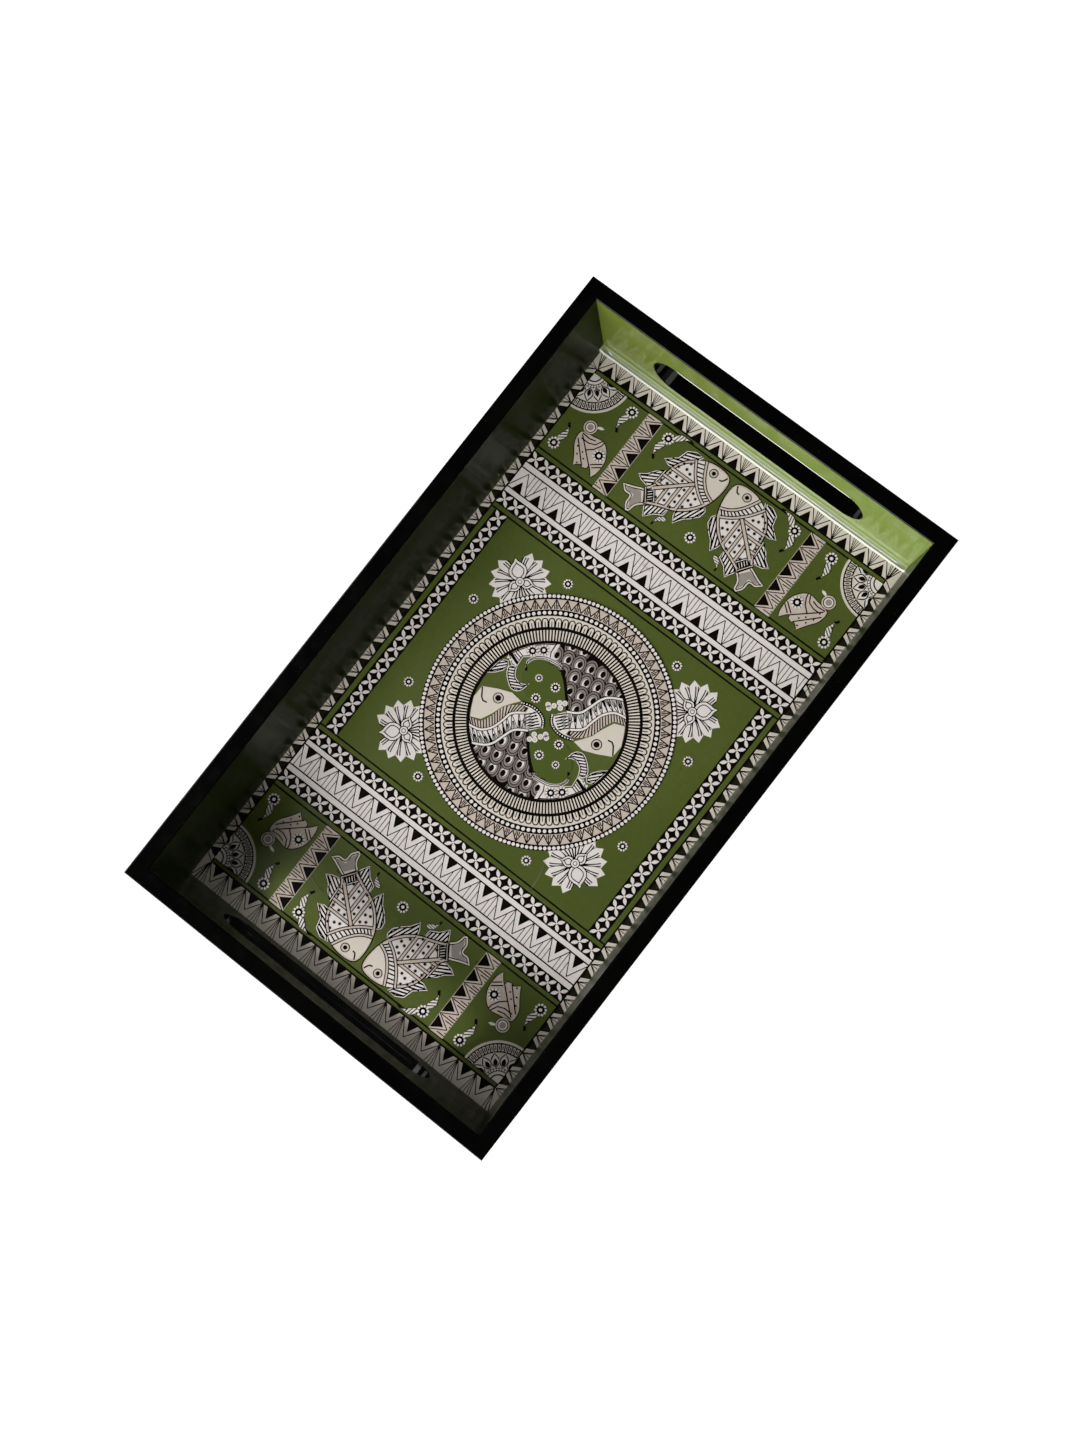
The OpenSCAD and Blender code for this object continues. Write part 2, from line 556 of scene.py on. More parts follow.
class Plate:
    """A drawing in millimetres. Every shape is a flat face at a level, and later becomes
    a film of ink that stands on the sheet. Higher levels cover lower ones."""

    STEP = 0.015
    PEN = 1.8

    def __init__(self) -> None:
        """Starts with no ink."""
        self.inks: dict[Ink, bmesh.types.BMesh] = {}

    def film(self, ink: Ink) -> bmesh.types.BMesh:
        """The bmesh of one ink, made when first asked for."""
        if ink not in self.inks:
            self.inks[ink] = bmesh.new()
        return self.inks[ink]

    def fill(self, ink: Ink, level: float, outline: Sequence[Point]) -> None:
        """Fills an outline."""
        bm = self.film(ink)
        bm.faces.new([bm.verts.new((x, y, level * self.STEP)) for x, y in outline])

    def disc(self, ink: Ink, level: float, centre: Point, radius: float, sides: int = 12) -> None:
        """Draws a filled round spot."""
        bmesh.ops.create_circle(
            self.film(ink),
            cap_ends=True,
            segments=sides,
            radius=radius,
            matrix=Matrix.Translation((*centre, level * self.STEP)),
        )

    def ribbon(
        self,
        ink: Ink,
        level: float,
        path: Sequence[Point],
        left: float,
        right: float,
        closed: bool = False,
        taper: Callable[[float], float] = lambda share: 1.0,
    ) -> None:
        """Draws a band beside a path.

        Args:
            ink: The colour.
            level: The level it lies at.
            path: The points that it follows.
            left: How far its left edge is to the left of the path.
            right: How far its right edge is to the left of the path.
            closed: Whether it returns to its start.
            taper: Width at a share of the length, as a factor.
        """
        bm = self.film(ink)
        count = len(path)
        pairs = []
        for i, (x, y) in enumerate(path):
            before = path[(i - 1) % count] if closed or i else path[0]
            after = path[(i + 1) % count] if closed or i < count - 1 else path[-1]
            along = Vector((after[0] - before[0], after[1] - before[1])).normalized()
            width = taper(i / max(count - 1, 1))
            pairs.append(
                [
                    bm.verts.new(
                        (x - along.y * d * width, y + along.x * d * width, level * self.STEP)
                    )
                    for d in (left, right)
                ]
            )
        for i in range(count if closed else count - 1):
            a, b = pairs[i], pairs[(i + 1) % count]
            bm.faces.new((a[1], b[1], b[0], a[0]))

    def line(self, ink: Ink, level: float, path: Sequence[Point], width: float) -> None:
        """Draws a line of even width along a path. The dark pen is broader."""
        half = width / 2 * (self.PEN if ink is Ink.DARK else 1.0)
        self.ribbon(ink, level, path, half, -half)

    def ring(
        self, ink: Ink, level: float, centre: Point, inner: float, outer: float, sides: int = 20
    ) -> None:
        """Draws a ring."""
        path = [polar(outer, 360 * i / sides, centre) for i in range(sides)]
        self.ribbon(ink, level, path, 0.0, outer - inner, closed=True)

    def bar(self, ink: Ink, level: float, low: Point, high: Point) -> None:
        """Fills a rectangle between two corners."""
        self.fill(ink, level, [low, (high[0], low[1]), high, (low[0], high[1])])

    def figure(
        self,
        ink: Ink,
        level: float,
        outline: Sequence[Point],
        inset: float = 0.55,
        width: float = 0.32,
        line: Ink = Ink.DARK,
    ) -> None:
        """Fills an outline, with a thin line just inside its edge.

        Args:
            ink: The colour of the fill.
            level: The level of the fill; the line lies one higher.
            outline: The shape's edge.
            inset: How far the line is inside the edge.
            width: The line's width, before the pen widens it.
            line: The line's colour.
        """
        loop = anticlockwise(outline)
        self.fill(ink, level, loop)
        self.ribbon(line, level + 1, loop, inset + width * self.PEN, inset, closed=True)

    def hatch(
        self,
        ink: Ink,
        level: float,
        outline: Sequence[Point],
        degrees: float,
        gap: float,
        width: float = 0.36,
        margin: float = 0.9,
    ) -> None:
        """Fills an outline with parallel lines that stop short of its edge.

        Args:
            ink: The colour of the lines.
            level: The level they lie at.
            outline: The shape's edge.
            degrees: Which way they run, from the X axis.
            gap: Distance from one to the next.
            width: Their width.
            margin: How far short of the edge they stop.
        """
        flat = turned(outline, -degrees)
        low = min(y for _, y in flat)
        high = max(y for _, y in flat)
        for i in range(1, int((high - low) / gap) + 1):
            y = low + gap * i
            ends = crossings(flat, y)
            for start, end in zip(ends[::2], ends[1::2]):
                if end - start > 2 * margin + width:
                    rule = [(start + margin, y), (end - margin, y)]
                    self.line(ink, level, turned(rule, degrees), width)

    def stamp(self, other: "Plate", matrix: Matrix = Matrix.Identity(4), lift: float = 0) -> None:
        """Adds a copy of another plate, placed by a matrix and lifted some levels."""
        place = Matrix.Translation((0, 0, lift * self.STEP)) @ matrix
        for ink, drawn in other.inks.items():
            copy = bpy.data.meshes.new("copy")
            drawn.to_mesh(copy)
            copy.transform(place)
            self.film(ink).from_mesh(copy)
            bpy.data.meshes.remove(copy)

    def spin(self, count: int) -> None:
        """Repeats everything drawn so far round the origin."""
        for bm in self.inks.values():
            bmesh.ops.spin(
                bm,
                geom=[*bm.verts, *bm.edges, *bm.faces],
                cent=(0, 0, 0),
                axis=(0, 0, 1),
                dvec=(0, 0, 0),
                angle=math.tau * (count - 1) / count,
                steps=count - 1,
                use_duplicate=True,
            )

    def row(self, count: int, step: Point) -> "Plate":
        """A new plate with this one repeated in a row that is centred on the origin."""
        whole = Plate()
        for i in range(count):
            share = i - (count - 1) / 2
            whole.stamp(self, Matrix.Translation((step[0] * share, step[1] * share, 0)))
        return whole

    def trim(self, point: Point, outwards: Point) -> None:
        """Cuts off all that lies beyond a line."""
        for bm in self.inks.values():
            bmesh.ops.bisect_plane(
                bm,
                geom=[*bm.verts, *bm.edges, *bm.faces],
                plane_co=(*point, 0),
                plane_no=(*outwards, 0),
                clear_outer=True,
            )

    def press(self, name: str, middle: Vector, materials: dict[Ink, bpy.types.Material]) -> list:
        """Makes each ink a mesh object whose films stand on the sheet.

        Args:
            name: What the pieces are called, before the name of the ink.
            middle: The middle of the print on the sheet, in millimetres.
            materials: The material of each ink.

        Returns:
            The new objects.
        """
        pieces = []
        for ink, bm in self.inks.items():
            bm.normal_update()
            bmesh.ops.reverse_faces(bm, faces=[f for f in bm.faces if f.normal.z < 0])
            base = bmesh.ops.extrude_face_region(bm, geom=bm.faces[:], use_keep_orig=True)
            tops = {v for v in base["geom"] if isinstance(v, bmesh.types.BMVert)}
            for vert in bm.verts:
                if vert not in tops:
                    vert.co.z = -0.5 * self.STEP
            bmesh.ops.recalc_face_normals(bm, faces=bm.faces[:])
            place = Matrix.Translation(middle)
            pieces.append(make_piece(f"{name}_{ink.value}", bm, [materials[ink]], place))
        return pieces


def make_piece(
    name: str,
    bm: bmesh.types.BMesh,
    materials: Sequence[bpy.types.Material],
    place: Matrix = Matrix.Identity(4),
) -> bpy.types.Object:
    """Turns a bmesh into an object at the origin and frees it.

    Args:
        name: The object's name.
        bm: The finished shape, in millimetres.
        materials: The object's materials, in slot order.
        place: Where the shape goes, in millimetres.

    Returns:
        The new object, in metres.
    """
    bmesh.ops.transform(bm, matrix=Matrix.Scale(MM, 4) @ place, verts=bm.verts[:])
    mesh = bpy.data.meshes.new(name)
    bm.to_mesh(mesh)
    bm.free()
    for material in materials:
        mesh.materials.append(material)
    piece = bpy.data.objects.new(name, mesh)
    bpy.context.scene.collection.objects.link(piece)
    return piece


def across(x: float, y: float, degrees: float = 0.0, flip: bool = False) -> Matrix:
    """A place on the sheet: mirrored left to right if asked, turned, then moved."""
    mirror = Matrix.Scale(-1, 4, (1, 0, 0)) if flip else Matrix.Identity(4)
    return Matrix.Translation((x, y, 0)) @ Matrix.Rotation(math.radians(degrees), 4, "Z") @ mirror


# ---------------------------------------------------------------- print motifs


@dataclass
class Trimmings:
    """Small motifs that are used all over the print. Sizes in millimetres."""

    rosette_radius: float = 3.35
    scallops: int = 10

    def rosette(self, radius: float | None = None) -> Plate:
        """A flower with round petals, a dark ring and a light heart."""
        size = radius or self.rosette_radius
        plate = Plate()
        plate.disc(Ink.DARK, 20, (0, 0), size * 0.92, 16)
        for i in range(self.scallops):
            spot = polar(size * 0.8, 360 * i / self.scallops)
            plate.disc(Ink.WHITE, 21, spot, size * 0.21, 8)
        plate.disc(Ink.DARK, 22, (0, 0), size * 0.62, 16)
        plate.disc(Ink.WHITE, 23, (0, 0), size * 0.29, 10)
        return plate

    def sprig(self) -> Plate:
        """A curved leaf that hangs from a rosette, with a dark stalk end."""
        outer = [(-1.5, -2.5), (-3.6, -6.0), (-2.6, -9.5), (-1.4, -12.0)]
        inner = [(-1.2, -9.0), (0.2, -6.0), (0.8, -3.0)]
        plate = Plate()
        leaf = smooth([outer[0], *outer, outer[-1], *inner, inner[-1]], 3)
        plate.figure(Ink.WHITE, 18, leaf, -0.15, 0.16)
        plate.hatch(Ink.DARK, 19.5, leaf, 35, 1.5, 0.3, 0.25)
        plate.line(Ink.DARK, 17, [(-1.7, -11.4), (-0.6, -12.6), (-0.2, -13.6)], 0.7)
        return plate

    @staticmethod
    def eye(
        plate: Plate, level: float, spot: Point, pupil: float, inner: float, outer: float
    ) -> None:
        """Draws a fish's eye: a dark pupil and a blush ring with a dark rim.

        Args:
            plate: The drawing.
            level: The level it lies at.
            spot: Its middle.
            pupil: Radius of the pupil.
            inner: Inner radius of the blush ring.
            outer: Its outer radius.
        """
        plate.ring(Ink.DARK, level, spot, outer, outer + 0.5)
        plate.ring(Ink.BLUSH, level, spot, inner, outer)
        plate.disc(Ink.DARK, level + 0.3, spot, pupil, 12)

    def quill(self) -> Plate:
        """One arm of a lattice cross: a lens along the diagonal."""
        plate = Plate()
        lens = moved(petal(4.5, 2.0), (0, 0.2))
        plate.fill(Ink.WHITE, 2, turned(lens, -45))
        return plate

    def lattice(self, count: int, step: Point) -> Plate:
        """A row of crosses on black, between thin dark edges."""
        cross = Plate()
        quill = self.quill()
        for turn in (0, 90, 180, 270):
            cross.stamp(quill, Matrix.Rotation(math.radians(turn), 4, "Z"))
        cross.disc(Ink.WHITE, 3, (0, 0), 0.42, 8)
        whole = cross.row(count, step)
        half = (max(step[0] * count / 2, 3.5), max(step[1] * count / 2, 3.5))
        whole.bar(Ink.DARK, 1, (-half[0], -half[1]), half)
        return whole


@dataclass
class ToothBand:
    """A light band of dark teeth under chevrons, with rays between them."""

    pitch: float
    count: int
    depth: float
    tooth: float
    apex: float
    chevron: float
    rays: tuple[float, ...]
    upright: bool = False
    ground: Ink = Ink.CREAM

    def draw(self) -> Plate:
        """Draws the band along X, with its inner edge on the X axis."""
        half = self.pitch / 2
        cell = Plate()
        teeth = [(-self.tooth, 0.25), (self.tooth, 0.25), (0.0, self.apex)]
        cell.fill(Ink.DARK, 2, teeth)
        for side in (-1, 1):
            cell.line(Ink.DARK, 2, [(side * half, 0.2), (0.0, self.chevron)], 0.28)
        for lean in self.rays:
            foot = (half + lean * 0.08, 0.8)
            if self.upright:
                foot = (half + lean, 0.5 + self.chevron * abs(lean) / half)
            cell.line(Ink.DARK, 2, [foot, (half + lean, self.depth - 0.1)], 0.21)
        band = cell.row(self.count, (self.pitch, 0))
        long = self.pitch * self.count / 2
        band.bar(self.ground, 1, (-long, 0), (long, self.depth))
        return band


@dataclass
class Lotus:
    """A lotus seen from the side, with its heart at the origin and its tip along +Y."""

    petals: int = 5
    first: float = 30.0
    fan: float = 24.0
    reach: float = 16.6
    shoulder: float = 13.4
    root: float = 3.0

    def sweep(self, angle: float, share: float) -> Outline:
        """A curve up a petal, from its inner edge at share 0 to its outer edge at share 1."""
        curve = []
        for step in range(7):
            t = step / 6
            radius = self.root + (self.shoulder - self.root) * t
            spread = 15.5 * math.sin(math.pi * (0.2 + 0.5 * t)) * (2 * share - 1)
            curve.append(polar(radius, 90 + angle + spread - 3 + 5 * t))
        return curve

    def outer_petal(self, plate: Plate, level: float, angle: float) -> None:
        """Draws a petal with an angular tip and stripes along its inner half."""
        tip = polar(self.reach, 90 + angle + 4)
        loop = [*self.sweep(angle, 0.0), tip, *reversed(self.sweep(angle, 1.0))]
        plate.fill(Ink.WHITE, level, anticlockwise(loop))
        for share in (0.0, 0.22, 0.44):
            plate.line(Ink.DARK, level + 0.5, self.sweep(angle, share), 0.33)
        plate.line(Ink.DARK, level + 0.5, self.sweep(angle, 1.0), 0.16)

    @staticmethod
    def ogee(plate: Plate, level: float, size: float, angle: float, insets: Sequence[float]) -> None:
        """Draws a petal like an onion dome, with lines that follow its edge.

        Args:
            plate: The drawing.
            level: The petal's level.
            size: Its size, where 1 is 13.4 mm long.
            angle: Degrees that it turns from +Y.
            insets: How far inside the edge each line lies.
        """
        side = [(1.5, 0.7), (3.6, 2.4), (4.9, 4.9), (4.7, 7.5), (3.1, 9.7), (1.2, 11.4)]
        shape = [(0, 0.2), *side, (0, 13.4), *[(-x, y) for x, y in reversed(side)]]
        loop = turned([(x * size, y * size) for x, y in shape], angle)
        plate.fill(Ink.WHITE, level, loop)
        for inset in insets:
            plate.ribbon(Ink.DARK, level + 0.5, loop, inset + 0.5, inset, closed=True)

    def draw(self) -> Plate:
        """Draws the fan of petals, the three inner ones, the heart and the roots."""
        half = Plate()
        for i in range(self.petals):
            self.outer_petal(half, 1 + self.petals - i, self.first + self.fan * i)
        whole = Plate()
        whole.stamp(half)
        whole.stamp(half, across(0, 0, 0, True))
        whole.fill(
            Ink.WHITE,
            0.6,
            [(3, -1.5), (-3, -1.5), (-10, -5), (-7, -7.6), (0, -9), (7, -7.6), (10, -5)],
        )
        for lean in (-66, -52, -39, -26, -13, 0, 13, 26, 39, 52, 66):
            whole.line(Ink.DARK, 0.9, [polar(2.2, lean - 90), polar(9, lean - 90)], 0.4)
        self.ogee(whole, 9, 1.0, 0, (-0.2, 1.5))
        for side in (-1, 1):
            self.ogee(whole, 11, 0.62, side * 117, (-0.2, 1.15))
        whole.disc(Ink.DARK, 13, (0, 0), 2.6, 14)
        whole.disc(Ink.WHITE, 14, (0, 0), 2.1, 14)
        whole.ring(Ink.DARK, 15, (0, 0), 0.9, 1.25, 10)
        return whole


@dataclass
class Medallion:
    """The round picture in the middle: rings round two fish that chase each other."""

    bead_count: int = 176
    tooth_count: int = 70
    pearl_count: int = 128
    petal_count: int = 92
    stick_count: int = 176
    ring_level: float = 26.0
    field_radius: float = 41.3
    feather_slim: float = 0.72
    row_tilt: float = 14.0
    trimmings: Trimmings = field(default_factory=Trimmings)

    def rings(self) -> Plate:
        """Draws the rings, one repeated cell at a time."""
        whole = Plate()
        top = self.ring_level
        for ink, inner, outer in (
            (Ink.DARK, 64.7, 67.6),
            (Ink.BLUSH, 59.2, 64.8),
            (Ink.DARK, 55.8, 59.2),
            (Ink.CREAM, 49.9, 55.8),
            (Ink.DARK, 48.3, 49.9),
            (Ink.CREAM, 42.6, 48.3),
            (Ink.DARK, 41.0, 42.6),
        ):
            whole.ring(ink, top, (0, 0), inner, outer, 144)
        for cell, count in (
            (self.bead(66.4, 0.98, 40), self.bead_count),
            (self.bead(57.5, 1.0, 0), self.pearl_count),
            (self.tooth(), self.tooth_count),
            (self.arch(), self.petal_count),
            (self.stick(), self.stick_count),
        ):
            cell.spin(count)
            whole.stamp(cell)
        return whole

    def bead(self, radius: float, size: float, drop: float) -> Plate:
        """One bead of a ring, with a dark rim when drop is given."""
        plate = Plate()
        level = self.ring_level + 1
        plate.disc(Ink.WHITE, level, polar(radius, 90), size, 8)
        if drop:
            plate.ring(Ink.DARK, level - 0.5, polar(radius, 90), size, size + 0.2, 8)
        return plate

    def tooth(self) -> Plate:
        """One tooth of the zigzag: an empty triangle beside a striped one."""
        plate = Plate()
        level = self.ring_level + 1
        half = 180 / self.tooth_count
        low, high = 59.5, 64.6
        for side in (-1, 1):
            path = [polar(high, 90 + side * half), polar(low, 90)]
            plate.line(Ink.DARK, level, path, 0.36)
        for share in (-0.5, 0.0, 0.5):
            angle = 90 + half * (1 + share * 0.62)
            crown = low + (high - low) * (0.82 - abs(share) * 0.75)
            plate.line(Ink.DARK, level, [polar(low, angle), polar(crown, angle)], 0.3)
        return plate

    def arch(self) -> Plate:
        """One petal of the arcade: an arch with a smaller arch inside."""
        plate = Plate()
        level = self.ring_level + 1
        half = math.radians(180 / self.petal_count) * 52.0
        width, foot, crown = half * 0.84, 49.8, 53.0
        curve = arc((0, crown), width, 0, 180, 6)
        plate.line(Ink.DARK, level, [(width, foot), *curve, (-width, foot)], 0.34)
        plate.line(Ink.DARK, level, [(0, foot), (0, crown - 0.4)], 0.26)
        return plate

    def stick(self) -> Plate:
        """One dark line of the ring of sticks."""
        plate = Plate()
        plate.line(Ink.DARK, self.ring_level + 1, [(0, 42.6), (0, 48.3)], 0.46)
        return plate

    def scale_feather(self) -> Plate:
        """One scale like a peacock's eye, in a stack of very thin films."""
        plate = Plate()
        for ink, level, radius in ((Ink.DARK, 0, 5.6), (Ink.MOSS, 0.25, 5.1)):
            plate.disc(ink, level, (0, 0), radius, 24)
        plate.ring(Ink.DARK, 0.5, (0.1, -0.1), 3.75, 4.2, 22)
        plate.ring(Ink.GREY, 0.5, (0.1, -0.1), 2.95, 3.4, 22)
        plate.disc(Ink.WHITE, 0.75, (0.2, -0.4), 2.5, 14)
        plate.disc(Ink.DARK, 1.0, (0.75, 0.2), 1.85, 12)
        return plate

    def fish(self) -> Plate:
        """Draws the upper fish, which swims to the right and curls its tail."""
        plate = Plate()
        feather = self.scale_feather()
        along, down = Vector((6.4, 1.6)), Vector((2.2, -7.1))
        edge = arc((0, 0), self.field_radius, 122, 50, 20)
        plate.fill(Ink.DARK, 0.9, [*edge, (16, 16), (5, 10.5), (-10, 24)])
        for row in range(-2, 4):
            for col in range(-6, 6):
                spot = Vector((3.5, 28.0)) + along * col + down * row
                if spot.length < 42 and spot.x > -19 and self.left_of_collar(spot):
                    level = 1 + 2.4 * (row + 2) + 1.2 * (col % 2)
                    slim = Matrix.Diagonal((self.feather_slim, 1, 1, 1))
                    plate.stamp(feather, across(*spot, self.row_tilt) @ slim, level)
        self.ground_sweep(plate)
        self.tail(plate)
        self.collar(plate)
        self.head(plate)
        return plate

    @staticmethod
    def left_of_collar(spot: Vector) -> bool:
        """Whether a scale lies on the body and not far under the collar."""
        edge = 10 + (spot.y - 14) * 0.7 + max(spot.y - 27, 0) * 1.2
        return 11 < spot.y and -26 + (36 - spot.y) * 1.0 < spot.x < edge + 3

    def ground_sweep(self, plate: Plate) -> None:
        """Lays the green ground over the scales below the fish's back."""
        back = [(5, 10.5), (-1, 17.5), (-6, 22.5), (-9.5, 25), (-14, 25.3), (-20, 24.5)]
        rest = [(-24, 22), (-26.5, 18), (-26, 12), (-20, 5), (0, 0)]
        plate.fill(Ink.GREEN, 15, [*back, *rest])
        plate.line(Ink.DARK, 15.5, smooth(back[:4], 3, False), 0.9)
        plate.fill(Ink.DARK, 15.6, [(-12, 24.6), (-9.5, 27), (-7, 24.6), (-6, 22.4), (-9.5, 24.8)])

    def tail(self, plate: Plate) -> None:
        """Draws the stalk with its rosettes, the hook and the two hatched lobes.

        Args:
            plate: The fish's drawing.
        """
        edge = arc((0, 0), self.field_radius, 119, 158, 10)
        stalk = [(-19.5, 36.3), *edge, (-33, 12), (-30.5, 14)]
        stalk += [(-31, 19), (-28.5, 21), (-24, 24), (-18, 26.3)]
        plate.figure(Ink.WHITE, 16, stalk, 0.4, 0.3)
        plate.line(Ink.DARK, 17, [(-21.3, 35.5), (-20.8, 30), (-19, 26.8)], 0.35)
        plate.line(Ink.WHITE, 17.4, [(-20.2, 35.8), (-19.8, 30), (-18, 26.8)], 1.3)
        rosette = self.trimmings.rosette(3.1)
        for spot in ((-24.5, 28.5), (-29.0, 24.7)):
            plate.disc(Ink.BLUSH, 17, spot, 3.5, 16)
            plate.stamp(rosette, across(*spot))
        for shift in (0.0, 1.5, 3.0):
            rib = [(-36.5 + shift * 0.3, 20.6 - shift), (-31.3, 19.4 - shift)]
            plate.line(Ink.DARK, 18, rib, 0.3)
        plate.fill(Ink.DARK, 18.2, [(-38.6, 16.2), (-36.8, 17.6), (-31.2, 15.4), (-31, 13.8)])
        for step in range(4):
            plate.disc(Ink.WHITE, 19, (-37.2 + 1.9 * step, 14.2 - 0.25 * step), 0.62, 8)
        hook = [(-9.5, 26.8), (-14, 26.2), (-20, 25.2), (-24.5, 22.6), (-26.6, 19), (-26.6, 15.2)]
        edge = [(-28.4, 19.0), (-25.6, 24.2), (-20, 27.3), (-13, 28.2)]
        curve = [*smooth(hook, 3, False), *smooth(edge, 3, False)]
        plate.figure(Ink.WHITE, 19, curve, 0.3, 0.25)
        plate.line(Ink.DARK, 18.8, [(-26.7, 16.2), (-25.2, 14.4)], 0.7)
        lobe = [(-34, 11), (-33, 7.5), (-30, 4.5), (-26, 2), (-22.5, 2.8), (-20.5, 5.5)]
        lobe += [(-19.7, 10.2), (-19.7, 10.2), (-21.6, 8.2), (-25, 7.4), (-28.6, 9.4)]
        lobe += [(-30.6, 14), (-30.6, 14)]
        wing = [(-34, 10.6), (-35, 7.2), (-37.4, 4), (-41.2, 1), (-41.0, 4), (-39.6, 11.5), (-36, 13)]
        for outline, turn in ((smooth(lobe, 2), 28), (wing, 48)):
            plate.figure(Ink.WHITE, 17, outline, 0.4, 0.3)
            plate.hatch(Ink.DARK, 18, outline, turn, 1.5, 0.4, 0.7)

    def collar(self, plate: Plate) -> None:
        """Draws the two rope lines and the zigzag between them.

        Args:
            plate: The fish's drawing.
        """
        back = [(27, 34.0), (19, 30), (15.5, 26), (13.5, 20), (11, 14), (5, 10)]
        front = [(34, 26.5), (30, 26), (25, 24.5), (21, 20), (19, 14), (17.5, 8), (12, 3.5)]
        curve, face = smooth(back, 4, False), smooth(front, 4, False)
        plate.fill(Ink.WHITE, 15.8, [*curve, *reversed(face)])
        steps = 12
        rungs = [
            (curve[round(i / steps * (len(curve) - 1))], face[round(i / steps * (len(face) - 1))])
            for i in range(steps + 1)
        ]
        for (a, b), (c, d) in zip(rungs, rungs[1:]):
            plate.line(Ink.DARK, 16.6, [a, d], 0.26)
            plate.line(Ink.DARK, 16.6, [a, b], 0.2)
            for share in (0.3, 0.5, 0.7):
                end = tuple(a[n] * (1 - share) + c[n] * share for n in (0, 1))
                tip = tuple(end[n] * 0.45 + d[n] * 0.55 for n in (0, 1))
                plate.line(Ink.DARK, 16.6, [end, tip], 0.17)
        gill = [(34, 26.5), (34, 23.2), (28, 21), (25, 15), (23, 8), (17, 2), (12, 0.5)]
        cheek = smooth(gill, 4, False)
        plate.fill(Ink.BLUSH, 15.8, [*face, *reversed(cheek)])
        for i in range(1, len(cheek) - 1):
            mate = face[round(i / (len(cheek) - 1) * (len(face) - 1))]
            plate.line(Ink.DARK, 16.6, [mate, cheek[i]], 0.34)
        for rope in (curve, face):
            plate.line(Ink.DARK, 17, rope, 1.05)
            plate.line(Ink.WHITE, 18, rope, 1.1)

    def head(self, plate: Plate) -> None:
        """Draws the plain head, the eye, the mouth and the fringe below.

        Args:
            plate: The fish's drawing.
        """
        crown = [*arc((0, 0), 40.6, 33.5, 22.5, 5), (38.8, 13), (38.6, 6)]
        jaw = [(31, 2), (24, -0.8), (17.5, 0), (20.5, 3.8), (23.5, 8.2), (25.5, 14), (28.5, 20.2)]
        plate.fill(Ink.CREAM, 17.5, anticlockwise([*crown, *jaw]))
        plate.line(Ink.DARK, 18.5, [(38.4, 6.2), (35.4, 10.6), (33.6, 11.8), (31.3, 11.3)], 0.45)
        self.trimmings.eye(plate, 18.5, (28, 5.9), 1.6, 1.5, 2.45)
        patch = [(0, 4), (4.5, 9.6), (10, 6.2), (13, 2.4), (16.5, 0.6), (9.5, -1.6), (3, 0)]
        plate.fill(Ink.WHITE, 15.8, anticlockwise(patch))
        for step in range(6):
            foot = (1.0 + step * 1.25, 4.6 - step * 0.95)
            plate.line(Ink.DARK, 16.6, [foot, (foot[0] + 4.2, foot[1] + 4.4)], 0.36)
            plate.line(Ink.DARK, 16.6, [(foot[0] + step * 0.2, foot[1]), (foot[0] + 3.6, 8.6)], 0.2)
        edge = smooth([(0, 4.2), (1.6, 1.4), (4, -0.4), (8, -1.5), (12.5, -1.1), (16.5, 0.4)], 3, False)
        plate.line(Ink.DARK, 17, edge, 1.1)
        for spot in edge:
            plate.disc(Ink.WHITE, 18, spot, 0.42, 8)
        for centre in ((-5.0, 7.2), (-2.2, 8.6), (-0.8, 11.6), (1.6, 13.0), (1.2, 9.6), (-3.6, 6.0)):
            plate.disc(Ink.WHITE, 19, centre, 1.5, 10)
            plate.ring(Ink.GREY, 19.6, centre, 0.45, 0.7, 8)

    def draw(self) -> Plate:
        """Puts both fish, the loose rosettes and the rings together."""
        half = self.fish()
        rosette = self.trimmings.rosette(2.6)
        half.stamp(self.trimmings.rosette(2.1), across(-17.5, 15.4))
        for spot in ((-7.5, 16.6), (-12.3, 6.0)):
            half.stamp(rosette, across(*spot))
        whole = Plate()
        for turn in (0, 180):
            whole.stamp(half, across(0, 0, turn))
        return whole


